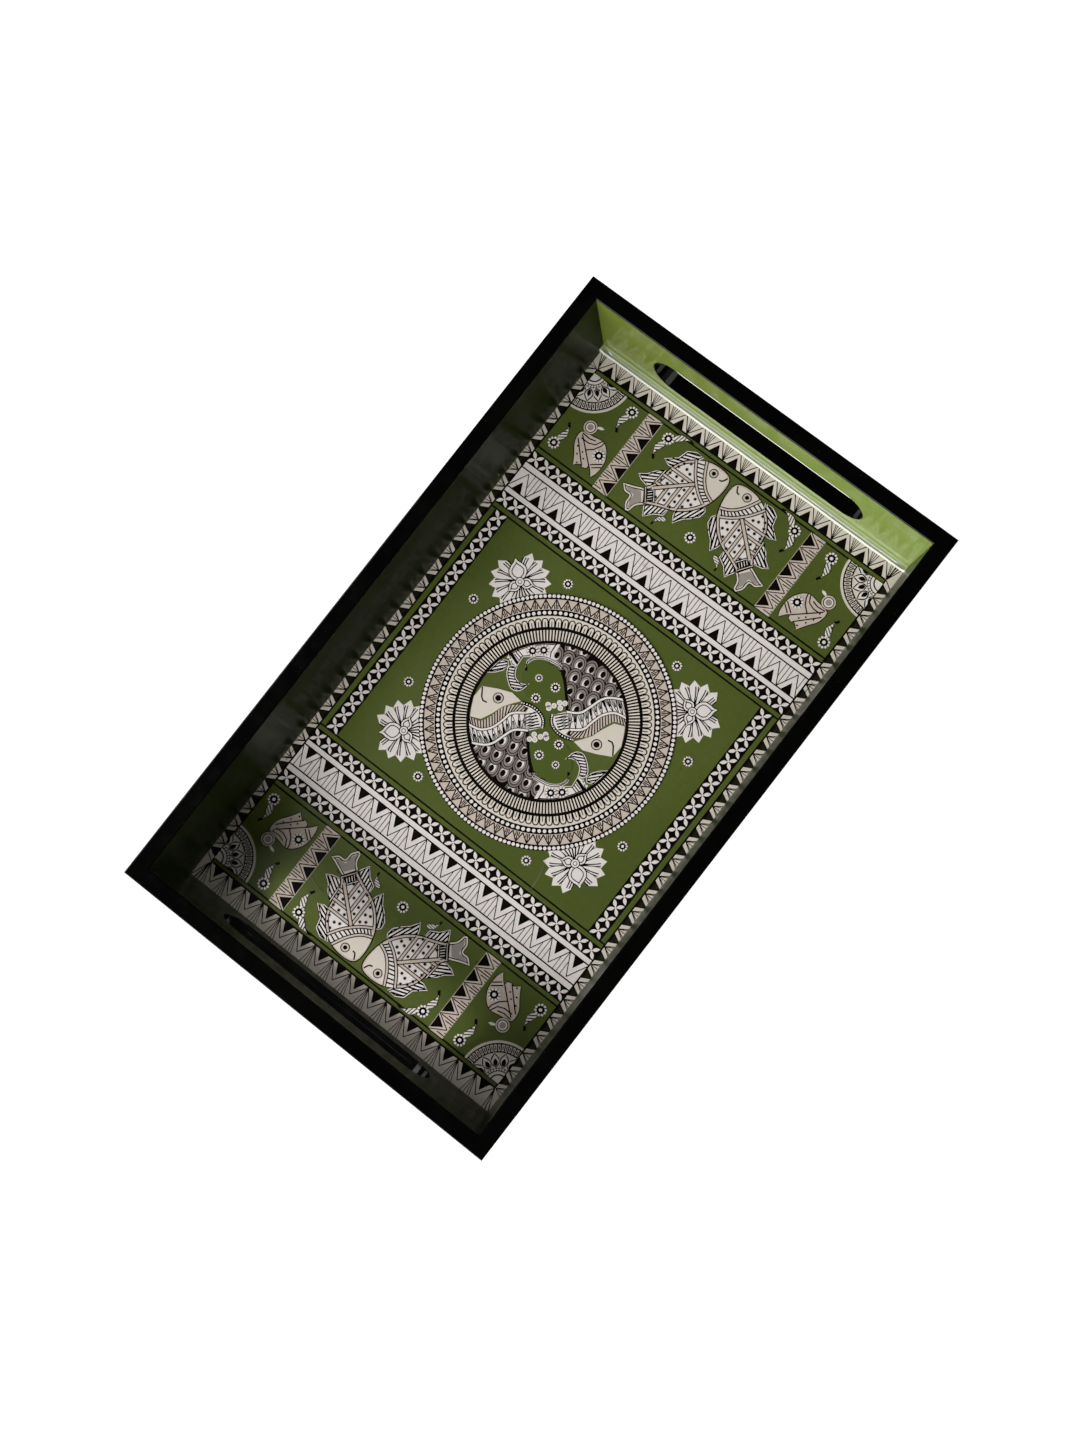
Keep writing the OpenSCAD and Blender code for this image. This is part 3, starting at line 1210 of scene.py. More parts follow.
@dataclass
class EndPanel:
    """The panel at one end of the print: two fish nose to nose, with a bird on each side."""

    top: float = 162.7
    foot: float = 113.2
    half_width: float = 94.8
    quarter_radius: float = 22.0
    tooth_pitch: float = 9.86
    trimmings: Trimmings = field(default_factory=Trimmings)

    def quarter(self) -> Plate:
        """A quarter of a round flower, in the corner of the panel."""
        plate = Plate()
        size = self.quarter_radius
        plate.fill(Ink.CREAM, 1, [(0, 0), *arc((0, 0), size, 0, 90, 16)])
        for radius in (20.3, 16.2):
            plate.line(Ink.DARK, 2, arc((0, 0), radius, 0, 90, 16), 0.4)
        for i in range(15):
            angle = 3 + i * 6
            plate.line(Ink.DARK, 2, [polar(16.2, angle), polar(20.3, angle)], 0.34)
            plate.line(Ink.DARK, 2, [polar(17.2, angle + 3), polar(19.4, angle + 3)], 0.3)
        for i in range(5):
            leaf = turned(moved(petal(8.6, 5.8, 0.45, 6), (0, 7.8)), -22.5 * i)
            plate.figure(Ink.WHITE, 3 + 2 * (i % 2), leaf, 0.35, 0.35)
            drop = turned(moved(petal(4.2, 2.4, 0.45, 5), (0, 9.0)), -22.5 * i)
            plate.fill(Ink.DARK, 4.4 + 2 * (i % 2), drop)
        plate.fill(Ink.DARK, 8, [(0, 0), *arc((0, 0), 8.1, 0, 90, 10)])
        for i in range(8):
            plate.disc(Ink.WHITE, 9, polar(7.3, 5.6 + i * 11.25), 0.6, 8)
        plate.fill(Ink.WHITE, 9, [(0, 0), *arc((0, 0), 6.3, 0, 90, 10)])
        plate.line(Ink.DARK, 10, arc((0, 0), 4.6, 0, 90, 8), 0.4)
        for outwards in ((-1, 0), (0, -1)):
            plate.trim((0, 0), outwards)
        return plate

    def bird(self) -> Plate:
        """A round-bodied bird that looks back over a flower."""
        plate = Plate()
        outline = [(-81.4, 133), (-78.5, 134.6), (-74, 135.2), (-68, 136), (-63.5, 133), (-60.5, 127.5)]
        outline += [(-60.3, 120), (-62, 116), (-62, 116), (-64, 118.6), (-66, 120.6), (-66.6, 118.8)]
        outline += [(-69, 118), (-70.6, 118.6), (-73.6, 116), (-73.6, 116), (-77, 121.5), (-80.8, 127)]
        body = anticlockwise(smooth(outline, 3))
        plate.figure(Ink.BLUSH, 1, body, -0.1, 0.26)
        for path in (
            [(-79.4, 132.4), (-66.0, 120.6)],
            [(-80.2, 129.6), (-69.4, 118.6)],
            [(-78.8, 130.6), (-74, 130.6), (-70.5, 132), (-68.6, 135.6)],
            [(-79.8, 133.2), (-75, 132.8), (-71.6, 133.8)],
            [(-72.8, 126.8), (-69.6, 129.6), (-67.6, 133.2), (-67.2, 135.4)],
            [(-61, 125.8), (-66.2, 121.8)],
            [(-60.6, 124), (-64.6, 120.8)],
        ):
            plate.line(Ink.DARK, 2.4, path, 0.36)
        for spot in ((-77.6, 126), (-75.4, 122.4), (-72.6, 118.6), (-73.6, 124.8), (-71, 122.2)):
            plate.disc(Ink.DARK, 2.4, spot, 0.5, 8)
        for ink, level, radius in (
            (Ink.DARK, 3, 4.1),
            (Ink.BLUSH, 4, 3.75),
            (Ink.DARK, 5, 3.0),
            (Ink.WHITE, 6, 2.5),
            (Ink.GREY, 7, 1.7),
        ):
            plate.disc(ink, level, (-78.4, 138), radius, 20)
        beak = [(-75.4, 140.6), (-73.6, 141.6), (-71.6, 141.4), (-72.6, 140.2), (-75, 139.6)]
        plate.fill(Ink.WHITE, 4, anticlockwise(beak))
        plate.stamp(self.trimmings.rosette(3.5), across(-65.3, 128.3))
        return plate

    def fish(self) -> Plate:
        """The left fish of the pair, with its nose at the middle of the panel."""
        plate = Plate()
        for fin, turn in (
            (
                [(-20, 160.5), (-25, 161), (-29.5, 158.5), (-31, 153), (-37, 148), (-33, 146.2), (-28, 147)],
                20,
            ),
            ([(-32, 143.5), (-36.5, 140), (-39, 136.5), (-43, 133.5), (-40, 131.5), (-33, 130.2)], 30),
            (
                [(-5, 141.5), (-1.8, 138), (-2.4, 134), (-6, 130), (-9, 127.5), (-12.3, 122.5)]
                + [(-14.5, 126), (-15.6, 130)],
                68,
            ),
            ([(-18, 129), (-18.5, 123), (-23, 120.5), (-27, 116), (-30, 121), (-29, 124)], 82),
        ):
            loop = anticlockwise(fin)
            plate.figure(Ink.WHITE, 1, loop, 0.5, 0.34)
            plate.ribbon(Ink.DARK, 2, loop, 0.0, -0.3, closed=True)
            plate.hatch(Ink.DARK, 2.5, loop, turn, 1.75, 0.46, 0.9)
        tail = [(-31, 129.5), (-36, 128.6), (-41, 126.5), (-46.3, 124.6), (-46.3, 124.6), (-43, 121.5)]
        tail += [(-39.4, 121.2), (-39, 117), (-36.5, 113.5), (-36.5, 113.5), (-34.5, 114.4)]
        tail += [(-33.5, 118.5), (-30, 122), (-27, 124)]
        loop = anticlockwise(smooth(tail, 3))
        plate.figure(Ink.CREAM, 3, loop, 0.9, 0.3)
        plate.ribbon(Ink.DARK, 4, loop, 0.1, -0.3, closed=True)
        heart = [(-36, 126.8), (-40.6, 125.2), (-43.8, 124.2), (-42, 123), (-37.8, 122.8)]
        heart += [(-37.6, 118.6), (-36, 115.4), (-34.8, 118.8), (-32.2, 122.2)]
        plate.fill(Ink.GREY, 4.5, anticlockwise(heart))
        body = [(-18, 160.2), (-12, 161.7), (-5, 161.3), (-1.4, 158.5), (-0.8, 152), (-2.2, 144)]
        body += [(-5, 138), (-10, 132), (-16, 128), (-24, 125), (-31, 121.8), (-31, 121.8)]
        body += [(-36, 129.5), (-36, 129.5), (-33, 134), (-32, 140), (-30.5, 148), (-26, 155)]
        flank = anticlockwise(smooth(body, 3))
        plate.figure(Ink.WHITE, 5, flank, -0.1, 0.34)
        plate.ribbon(Ink.BLUSH, 5.6, flank, 1.7, 0.3, closed=True)
        plate.ribbon(Ink.DARK, 6.2, flank, 2.1, 1.55, closed=True)
        self.rump(plate)
        self.patches(plate)
        self.gill(plate)
        return plate

    @staticmethod
    def rump(plate: Plate) -> None:
        """The ladder across the root of the tail."""
        for shift in (0.0, 1.1, 4.8, 5.9):
            path = [(-35.4 + shift * 0.66, 129.2 + shift * 0.66), (-30.6 + shift * 0.7, 122.6 + shift * 0.62)]
            plate.line(Ink.DARK, 7, path, 0.32)
        for share in (0.18, 0.36, 0.54, 0.72, 0.88):
            low = (-34.3 + 4.8 * share, 130.0 - 6.4 * share)
            plate.line(Ink.DARK, 7, [low, (low[0] + 2.3, low[1] + 2.2)], 0.55)

    @staticmethod
    def patches(plate: Plate) -> None:
        """Cross lines that part the flank into dotted patches, and the lateral line.

        Args:
            plate: The fish's drawing.
        """
        level = ((146.2, -30.6, -16.2), (140.9, -31.8, -21), (135.2, -32.4, -26))
        upright = ((-15.6, 129.6, 146.4), (-20.6, 127.8, 141.6), (-25.8, 126.2, 136.6))
        seams = [([(start, y), (end, y)], (0, 0.85)) for y, start, end in level]
        seams += [([(x, low), (x, high)], (0.85, 0)) for x, low, high in upright]
        for path, (x, y) in seams:
            plate.line(Ink.BLUSH, 6.6, path, 1.9)
            for shift in ((-x, -y), (x, y)):
                plate.line(Ink.DARK, 7, moved(path, shift), 0.28)
        plate.line(Ink.BLUSH, 8, [(-14.6, 147.2), (-32.2, 131.4)], 2.2)
        for shift in (-0.7, 0.7):
            path = [(-14.6 + shift, 147.2 - shift), (-31.8 + shift, 131.7 - shift)]
            plate.line(Ink.DARK, 9, path, 0.3)
        dots = [(-28, 149), (-23.6, 150.3), (-26.6, 152), (-23.6, 154), (-20.8, 149.2), (-29.6, 143.6)]
        dots += [(-25.6, 144), (-21.8, 144), (-31, 137.8), (-27.4, 138.2), (-31, 132.9), (-10.4, 140.2)]
        dots += [(-13, 142), (-13, 137.4), (-10.4, 136.4), (-13.4, 132.8), (-18, 140.6), (-18.2, 136.6)]
        dots += [(-18.2, 132.6), (-18.6, 128.8), (-23.2, 134.2), (-23.2, 130), (-27.8, 128.6)]
        for spot in dots:
            plate.disc(Ink.MOSS, 7, spot, 0.95, 10)
            plate.disc(Ink.DARK, 7.6, spot, 0.62, 8)

    def gill(self, plate: Plate) -> None:
        """The striped gill, the plain head, the eye and the mouth.

        Args:
            plate: The fish's drawing.
        """
        rear = smooth([(-22.6, 157.4), (-18, 150.4), (-11.5, 144), (-5.6, 140.4)], 4, False)
        fore = smooth([(-17.6, 160.0), (-13.4, 152.2), (-8.4, 146.8), (-2.8, 144.2)], 4, False)
        plate.fill(Ink.WHITE, 8, anticlockwise([*rear, *reversed(fore)]))
        for a, b in list(zip(rear, fore))[1:-1]:
            plate.line(Ink.DARK, 9, [a, (b[0], b[1] - 0.6)], 0.42)
        for path in (rear, fore):
            plate.line(Ink.BLUSH, 9.3, path, 1.5)
            for shift in (-0.75, 0.75):
                plate.ribbon(Ink.DARK, 9.6, path, shift + 0.26, shift - 0.26)
        face = [*fore, (-1.8, 151), (-2.3, 157.8), (-5.2, 160.2), (-12, 160.5)]
        plate.fill(Ink.CREAM, 7.5, anticlockwise(face))
        self.trimmings.eye(plate, 9, (-10.9, 157), 1.15, 1.25, 2.05)
        smile = smooth([(-3.4, 159.2), (-4.2, 157.4), (-5.2, 156.2), (-6.6, 155.9)], 3, False)
        plate.line(Ink.DARK, 9, smile, 0.44)

    def half(self) -> Plate:
        """Everything on the left of the panel."""
        plate = Plate()
        corner = across(-self.half_width, self.top, -90)
        plate.stamp(self.quarter(), corner)
        plate.stamp(self.bird())
        plate.stamp(self.fish())
        sprig, rosette = self.trimmings.sprig(), self.trimmings.rosette()
        for x, y, turn in ((-65.6, 157.5, 0), (-89.0, 119.8, 180), (-41.5, 157.7, 0)):
            plate.stamp(sprig, across(x, y, turn))
            plate.stamp(rosette, across(x, y))
        plate.stamp(sprig, across(-41.5, 157.7, 112, True), 0.3)
        plate.stamp(sprig, across(-14.6, 123.6, -38) @ Matrix.Scale(0.75, 4))
        pitch = self.tooth_pitch
        band = ToothBand(pitch, 5, 9.3, 3.9, 6.0, 8.6, (), False, Ink.BLUSH).draw()
        for level in range(-3, 3):
            for share in (-0.3, -0.15, 0.0, 0.15, 0.3):
                along = (level + 0.5 + share) * pitch
                if abs(along) < 24.4:
                    foot = 1.2 + 24 * abs(share)
                    band.line(Ink.DARK, 2, [(along, 9.2), (along, foot)], 0.3)
        plate.stamp(band, across(-48.75, 137.95, 90))
        return plate

    def draw(self) -> Plate:
        """The whole panel: both halves, the frame lines and the middle rosette."""
        whole = Plate()
        half = self.half()
        whole.stamp(half)
        whole.stamp(half, across(0, 0, 0, True))
        whole.stamp(self.trimmings.rosette(3.1), across(0, 122.2))
        for level in (self.top, self.foot):
            whole.line(Ink.DARK, 0.6, [(-self.half_width, level), (self.half_width, level)], 0.5)
        return whole


@dataclass
class Borders:
    """The border of teeth at the edge of the sheet, and the bands that part its fields."""

    inner: Point = (94.8, 165.3)
    edge: Point = (99.45, 176.95)
    lotus_place: Point = (57.0, 49.7)
    rosette_places: tuple[Point, ...] = ((36, 64), (71, 27.7))
    trimmings: Trimmings = field(default_factory=Trimmings)

    def rim(self) -> Plate:
        """The border of teeth round the sheet, cut off at the sheet's edges."""
        whole = Plate()
        ends = ToothBand(11.85, 16, 11.7, 3.0, 6.0, 9.0, (-3.6, -2.0, 0.0, 2.0)).draw()
        sides = ToothBand(11.4, 29, 4.7, 3.0, 6.0, 9.0, (-2.0, 0.0, 2.0)).draw()
        for turn in (0, 180):
            whole.stamp(ends, across(0, 0, turn) @ across(0, self.inner[1]))
            whole.stamp(sides, across(0, 0, turn - 90) @ across(0, self.inner[0]))
            for side in (-1, 1):
                corner = Plate()
                corner.bar(Ink.CREAM, 1, (0, 0), (4.7, 11.7))
                for lean in (0.4, 1.6, 3.0):
                    corner.line(Ink.DARK, 2, [(0.1, 0.3), (lean * 1.5, 11.6)], 0.27)
                place = across(self.inner[0] * side, self.inner[1], 0, side < 0)
                whole.stamp(corner, across(0, 0, turn) @ place)
        for way in ((1, 0), (-1, 0), (0, 1), (0, -1)):
            whole.trim((way[0] * self.edge[0], way[1] * self.edge[1]), way)
        x, y = self.inner
        for side in (-1, 1):
            for path in ([(side * x, -y), (side * x, y)], [(-x, side * y), (x, side * y)]):
                whole.line(Ink.DARK, 2.6, path, 0.5)
        return whole

    def bands(self) -> Plate:
        """The two wide bands of bars, teeth and lattice across the sheet."""
        half = self.inner[0]
        band = Plate()
        lattice = self.trimmings.lattice(25, (7.584, 0))
        teeth = ToothBand(11.85, 16, 12.9, 3.0, 6.3, 11.6, (-2.3, 0.0, 2.3), True, Ink.WHITE).draw()
        for level in (106.7, 79.9):
            band.stamp(lattice, across(0, level))
        band.stamp(teeth, across(0, 86.7))
        for low, high in ((99.5, 103.0), (83.6, 86.7)):
            band.bar(Ink.WHITE, 1.5, (-half, low), (half, high))
        for level in (103.1, 99.5, 86.75, 83.5):
            band.line(Ink.DARK, 2.6, [(-half, level), (half, level)], 0.4)
        for level in (110.2, 76.4, 73.3):
            band.line(Ink.DARK, 0.6, [(-half, level), (half, level)], 0.5)
        whole = Plate()
        for turn in (0, 180):
            whole.stamp(band, across(0, 0, turn))
            whole.stamp(self.trimmings.lattice(20, (0, 7.33)), across(0, 0, turn) @ across(87.5, 0))
            edge = Plate()
            for place in (83.9, 91.3):
                edge.line(Ink.DARK, 0.6, [(place, -73.3), (place, 73.3)], 0.5)
            whole.stamp(edge, across(0, 0, turn))
        return whole

    def flowers(self) -> Plate:
        """The four lotus flowers outside the medallion, and the small rosettes."""
        whole = Plate()
        lotus = Lotus().draw()
        small = self.trimmings.rosette(2.7)
        for x in (-1, 1):
            for y in (-1, 1):
                heart = (self.lotus_place[0] * x, self.lotus_place[1] * y)
                turn = math.degrees(math.atan2(heart[1], heart[0])) - 90
                whole.stamp(lotus, across(*heart, turn))
                for place in self.rosette_places:
                    whole.stamp(small, across(place[0] * x, place[1] * y))
        for path in (
            [(44, -58), (46.5, -66), (47, -74)],
            [(-48, -139.6), (-43, -141.2), (-38, -142)],
            [(-12, 96), (-6, 95.4)],
        ):
            whole.line(Ink.GREY, 24, path, 0.16)
        return whole


# ---------------------------------------------------------------- the tray itself


def swatch(red: int, green: int, blue: int) -> Colour:
    """A colour from 0 to 255 display values, as linear light."""
    return tuple(
        c / 255 / 12.92 if c <= 10 else ((c / 255 + 0.055) / 1.055) ** 2.4
        for c in (red, green, blue)
    )


class Finishes:
    """Every material of the tray and the studio, made once."""

    def __init__(self) -> None:
        """Makes the materials."""
        self.black = Enamel(
            "black_gloss_enamel",
            swatch(3, 3, 3), swatch(6, 6, 5), swatch(46, 44, 40),
            gloss=0.25,
            shine=0.1,
        ).material()
        self.green = Enamel(
            "green_gloss_enamel",
            swatch(93, 105, 40),
            # The lighter, lit end of the painted shade, and the clouding.
            swatch(119, 139, 66),
            swatch(172, 178, 140),
            peel=0.00004,
            gloss=0.4,
            shine=0.2,
            # Painted shade across the far wall: darker at -X, lighter at +X.
            sweep=0.11,
        ).material()
        # Painted shade: a darker copy of the green enamel for the inner faces of the near, left and right
        # walls, which stand in shade.
        self.shaded_green = Enamel(
            "deep_green_gloss_enamel",
            swatch(30, 37, 14),
            swatch(36, 44, 18),
            swatch(80, 86, 58),
            peel=0.00004,
            roughness=0.28,
            gloss=0.07,
            shine=0.07,
        ).material()
        self.ground = PrintedGround(
            "printed_green", swatch(80, 90, 38), swatch(70, 81, 31)
        ).material()
        self.inks = {
            Ink.CREAM: PrintInk("cream_ink", swatch(205, 196, 184)).material(),
            Ink.WHITE: PrintInk("white_ink", swatch(216, 209, 204)).material(),
            Ink.BLUSH: PrintInk("blush_ink", swatch(190, 176, 164)).material(),
            Ink.DARK: PrintInk("dark_ink", swatch(12, 8, 6)).material(),
            Ink.MOSS: PrintInk("taupe_ink", swatch(118, 108, 104)).material(),
            Ink.GREY: PrintInk("grey_ink", swatch(144, 137, 130)).material(),
            Ink.GREEN: PrintInk("green_ink", swatch(74, 85, 37)).material(),
        }
        # The resin's painted sheen, darker low and lighter high, and the near-white of the bubbles and of the
        # painted highlight line.
        self.resin = PooledResin(
            "pooled_resin",
            swatch(106, 114, 84),
            swatch(138, 152, 100),
            swatch(250, 250, 240),
            0.0085,
            0.0104,
            0.1738,
        ).material()
        self.steel = BradSteel("brad_wire").material()
        self.felt = PressedFelt("pressed_felt", swatch(62, 62, 60), swatch(98, 97, 93)).material()


def dress(piece: bpy.types.Object, slot: str, *nodes: str) -> bpy.types.Object:
    """Lets a piece ride with the tray and stand for its part of the model.

    Args:
        piece: The finished object.
        slot: Not used.
        nodes: The model's nodes that it replaces.

    Returns:
        The same object.
    """
    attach(piece, "root")
    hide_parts(*nodes)
    LOG.info("%s: %d faces, stands for %s", piece.name, len(piece.data.polygons), ", ".join(nodes))
    return piece


def soften(bm: bmesh.types.BMesh, edges: Iterable, offset: float, segments: int = 3) -> None:
    """Rounds edges of a bmesh."""
    bmesh.ops.bevel(
        bm,
        geom=list(edges),
        offset=offset,
        affect="EDGES",
        segments=segments,
        profile=0.5,
        material=-1,
    )


@dataclass
class Carcass:
    """The four leaning walls and the base board. Sizes in millimetres."""

    finishes: Finishes
    foot_z: float = 7.0
    rim_z: float = 60.8
    base_z: float = 2.0
    board: float = 9.0
    flare: float = 6.0
    foot_half: Point = (108.5, 186.0)
    slot_length: float = 134.0
    slot_height: float = 26.0
    slot_z: float = 29.8
    slot_arc_steps: int = 14
    rim_round: float = 0.7
    slot_round: float = 0.4
    foot_round: float = 0.3
    base_round: float = 1.0
    slot_zone: Point = (10.0, 55.0)

    @property
    def lean(self) -> float:
        """Lean of the walls away from upright, in radians."""
        return math.atan(self.flare / (self.rim_z - self.foot_z))

    def wall(self, name: str, reach: float, other: float, turn: float, slotted: bool) -> None:
        """Builds one wall as it stands at the far end, then turns it into place.

        Args:
            name: The model's node that it stands for.
            reach: Half size to the outer face at the foot.
            other: Half length of the outer face at the foot.
            turn: Degrees from the far end to its own side.
            slotted: Whether it has a hand slot.
        """
        bm = bmesh.new()
        inner, step = reach - self.board, other - self.board
        flare = self.flare

        def corner(side: int, high: bool, outside: float) -> Vector:
            """A corner of the wall, on its inner face or a distance outside it."""
            return Vector(
                (
                    side * (step + outside + flare * high),
                    inner + outside + flare * high,
                    self.rim_z if high else self.foot_z,
                )
            )

        corners = {(s, h): bm.verts.new(corner(s, h, 0)) for s in (-1, 1) for h in (False, True)}
        through = Vector((0, math.cos(self.lean), -math.sin(self.lean)))
        loops = self.slot_face(bm, inner, corners, through) if slotted else []
        if not slotted:
            bm.faces.new([corners[k] for k in ((-1, False), (1, False), (1, True), (-1, True))])
        grown = bmesh.ops.extrude_face_region(bm, geom=bm.faces[:], use_keep_orig=True)
        thick = self.board * math.cos(self.lean)
        for vert in [v for v in grown["geom"] if isinstance(v, bmesh.types.BMVert)]:
            side = 1 if vert.co.x > 0 else -1
            for high in (False, True):
                if (vert.co - corner(side, high, 0)).length < SAME_LEVEL:
                    vert.co = corner(side, high, self.board)
                    break
            else:
                vert.co += through * thick
        bmesh.ops.recalc_face_normals(bm, faces=bm.faces[:])
        self.round_off(bm, bool(loops))
        for face in bm.faces:
            face.smooth = False
            face.material_index = 1 if face.normal.dot(through) < -FACING else 0
        # Painted shade: the near, left and right walls take the darker copy of the green inside; only the far
        # wall keeps the lit green.
        inside_coat = self.finishes.shaded_green if turn else self.finishes.green
        materials = [self.finishes.black, inside_coat]
        place = Matrix.Rotation(math.radians(turn), 4, "Z")
        dress(make_piece(f"lacquered_{name}", bm, materials, place), "black_lacquer", name)

    def slot_face(
        self, bm: bmesh.types.BMesh, inner: float, corners: dict, through: Vector
    ) -> list:
        """Lays the inner face round the slot, as one half above it and one below.

        Args:
            bm: The wall's shape so far.
            inner: How far the inner face is from the middle, at its foot.
            corners: The face's corners, by side and whether they are high.
            through: The way through the board, from inside to outside.

        Returns:
            The vertices round the slot.
        """
        rise = Vector((0, math.sin(self.lean), math.cos(self.lean)))
        out = inner + self.board / 2 + math.tan(self.lean) * (self.slot_z - self.foot_z)
        centre = Vector((0, out, self.slot_z)) - through * self.board * math.cos(self.lean) / 2
        radius = self.slot_height / 2
        reach = self.slot_length / 2 - radius
        ring = []
        for side in (1, -1):
            for i in range(self.slot_arc_steps + 1):
                angle = math.pi * (i / self.slot_arc_steps - 0.5) + (0 if side > 0 else math.pi)
                spot = centre + rise * (radius * math.sin(angle))
                spot.x = side * reach + radius * math.cos(angle)
                ring.append(bm.verts.new(spot))
        half = self.slot_arc_steps + 1
        right, left = self.slot_arc_steps // 2, half + self.slot_arc_steps // 2
        upper = ring[right : left + 1]
        lower = [*ring[left:], *ring[: right + 1]]
        bm.faces.new([corners[-1, True], *reversed(upper), corners[1, True]])
        bm.faces.new([corners[1, False], *reversed(lower), corners[-1, False]])
        bm.faces.new([corners[1, False], corners[1, True], ring[right]])
        bm.faces.new([corners[-1, True], corners[-1, False], ring[left]])
        return ring

    def round_off(self, bm: bmesh.types.BMesh, slotted: bool) -> None:
        """Softens the rim, the foot and the edges of the slot.

        Args:
            bm: The wall's shape.
            slotted: Whether it has a slot.
        """

        def along(edge: bmesh.types.BMEdge, level: float) -> bool:
            """Whether an edge runs along the wall at a level."""
            return all(abs(v.co.z - level) < SAME_LEVEL for v in edge.verts) and (
                abs(edge.verts[0].co.y - edge.verts[1].co.y) < SAME_LEVEL
            )

        if slotted:
            limit = self.slot_length / 2 + 0.5
            low, high = self.slot_zone
            rim = [
                e
                for e in bm.edges
                if not e.is_wire
                and all(abs(v.co.x) < limit and low < v.co.z < high for v in e.verts)
                and e.calc_face_angle(0) > CREASE
                and (e.verts[0].co - e.verts[1].co).normalized().y ** 2 < ALONG_SLOT
            ]
            soften(bm, rim, self.slot_round, 4)
        soften(bm, [e for e in bm.edges if along(e, self.rim_z)], self.rim_round, 4)
        soften(bm, [e for e in bm.edges if along(e, self.foot_z)], self.foot_round, 1)

    def base(self) -> None:
        """The board under the print, with softened lower edges."""
        bm = bmesh.new()
        low, high = self.base_z, self.foot_z
        size = Vector((2 * self.foot_half[0], 2 * self.foot_half[1], high - low))
        place = Matrix.Translation((0, 0, (low + high) / 2)) @ Matrix.Diagonal((*size, 1))
        bmesh.ops.create_cube(bm, size=1, matrix=place)
        lower = [e for e in bm.edges if all(v.co.z < low + 0.1 for v in e.verts)]
        upright = [e for e in bm.edges if abs(e.verts[0].co.z - e.verts[1].co.z) > 1]
        soften(bm, [*lower, *upright], self.base_round, 3)
        piece = make_piece("lacquered_base_board", bm, [self.finishes.black])
        dress(piece, "black_lacquer", "base_board")

    def build(self) -> None:
        """Builds the base and the four walls."""
        wide, long = self.foot_half
        self.base()
        self.wall("handle_wall_far", long, wide, 0, True)
        self.wall("handle_wall_near", long, wide, 180, True)
        self.wall("side_wall_left", wide, long, 90, False)
        self.wall("side_wall_right", wide, long, -90, False)


@dataclass
class Cove:
    """The fillet of poured resin round the floor. Sizes in millimetres."""

    finishes: Finishes
    floor_z: float = 7.3
    well_half: Point = (99.5, 177.0)
    lean: float = 0.1111
    radius: float = 4.0
    edge: float = 0.12
    arc_steps: int = 9
    wobble: float = 0.005
    waves: tuple[float, ...] = (0.31, 0.23, 0.71)
    spacing: float = 6.0

    def section(self) -> Outline:
        """The fillet's section: distance in from the wall's foot, and height."""
        centre = (self.radius * (1 - math.sin(self.lean)) / math.cos(self.lean), self.radius)
        hollow = arc(centre, self.radius, 270, 180 + math.degrees(self.lean), self.arc_steps)
        rise = self.radius - self.radius * math.sin(self.lean)
        back = -math.tan(self.lean) * rise
        return [(centre[0], 0.0), *[(u, max(z, self.edge)) for u, z in hollow], (back, rise), (0.0, 0.0)]

    def build(self) -> None:
        """Sweeps the section round the well, a little unevenly."""
        bm = bmesh.new()
        wide, long = self.well_half
        rings = []
        section = apart(self.section(), True)
        for u, z in section:
            half = (wide - u, long - u)
            corners = [(-half[0], -half[1]), (half[0], -half[1]), half, (-half[0], half[1])]
            ring = []
            for i, (a, b) in enumerate(zip(corners, [*corners[1:], corners[0]])):
                count = round((2 * (wide, long)[i % 2]) / self.spacing)
                for k in range(count):
                    share = k / count
                    ring.append(
                        bm.verts.new(
                            (
                                a[0] + (b[0] - a[0]) * share,
                                a[1] + (b[1] - a[1]) * share,
                                self.floor_z + z,
                            )
                        )
                    )
            rings.append(ring)
        for ring, following in zip(rings, [*rings[1:], rings[0]]):
            for i in range(len(ring)):
                k = (i + 1) % len(ring)
                bm.faces.new((ring[i], ring[k], following[k], following[i]))
        for ring, (u, z) in zip(rings[1:-2], section[1:-2]):
            for vert in ring:
                x, y = vert.co.xy
                wave = math.sin(x * self.waves[0]) + math.sin(y * self.waves[1] + 1.0)
                wave += 0.6 * math.sin((x + y) * self.waves[2])
                vert.co.z += self.wobble * wave * min(z, 3.0)
        bmesh.ops.recalc_face_normals(bm, faces=bm.faces[:])
        for face in bm.faces:
            face.smooth = True
        piece = make_piece("poured_resin_cove", bm, [self.finishes.resin])
        dress(piece, "clear_resin", "resin_cove")


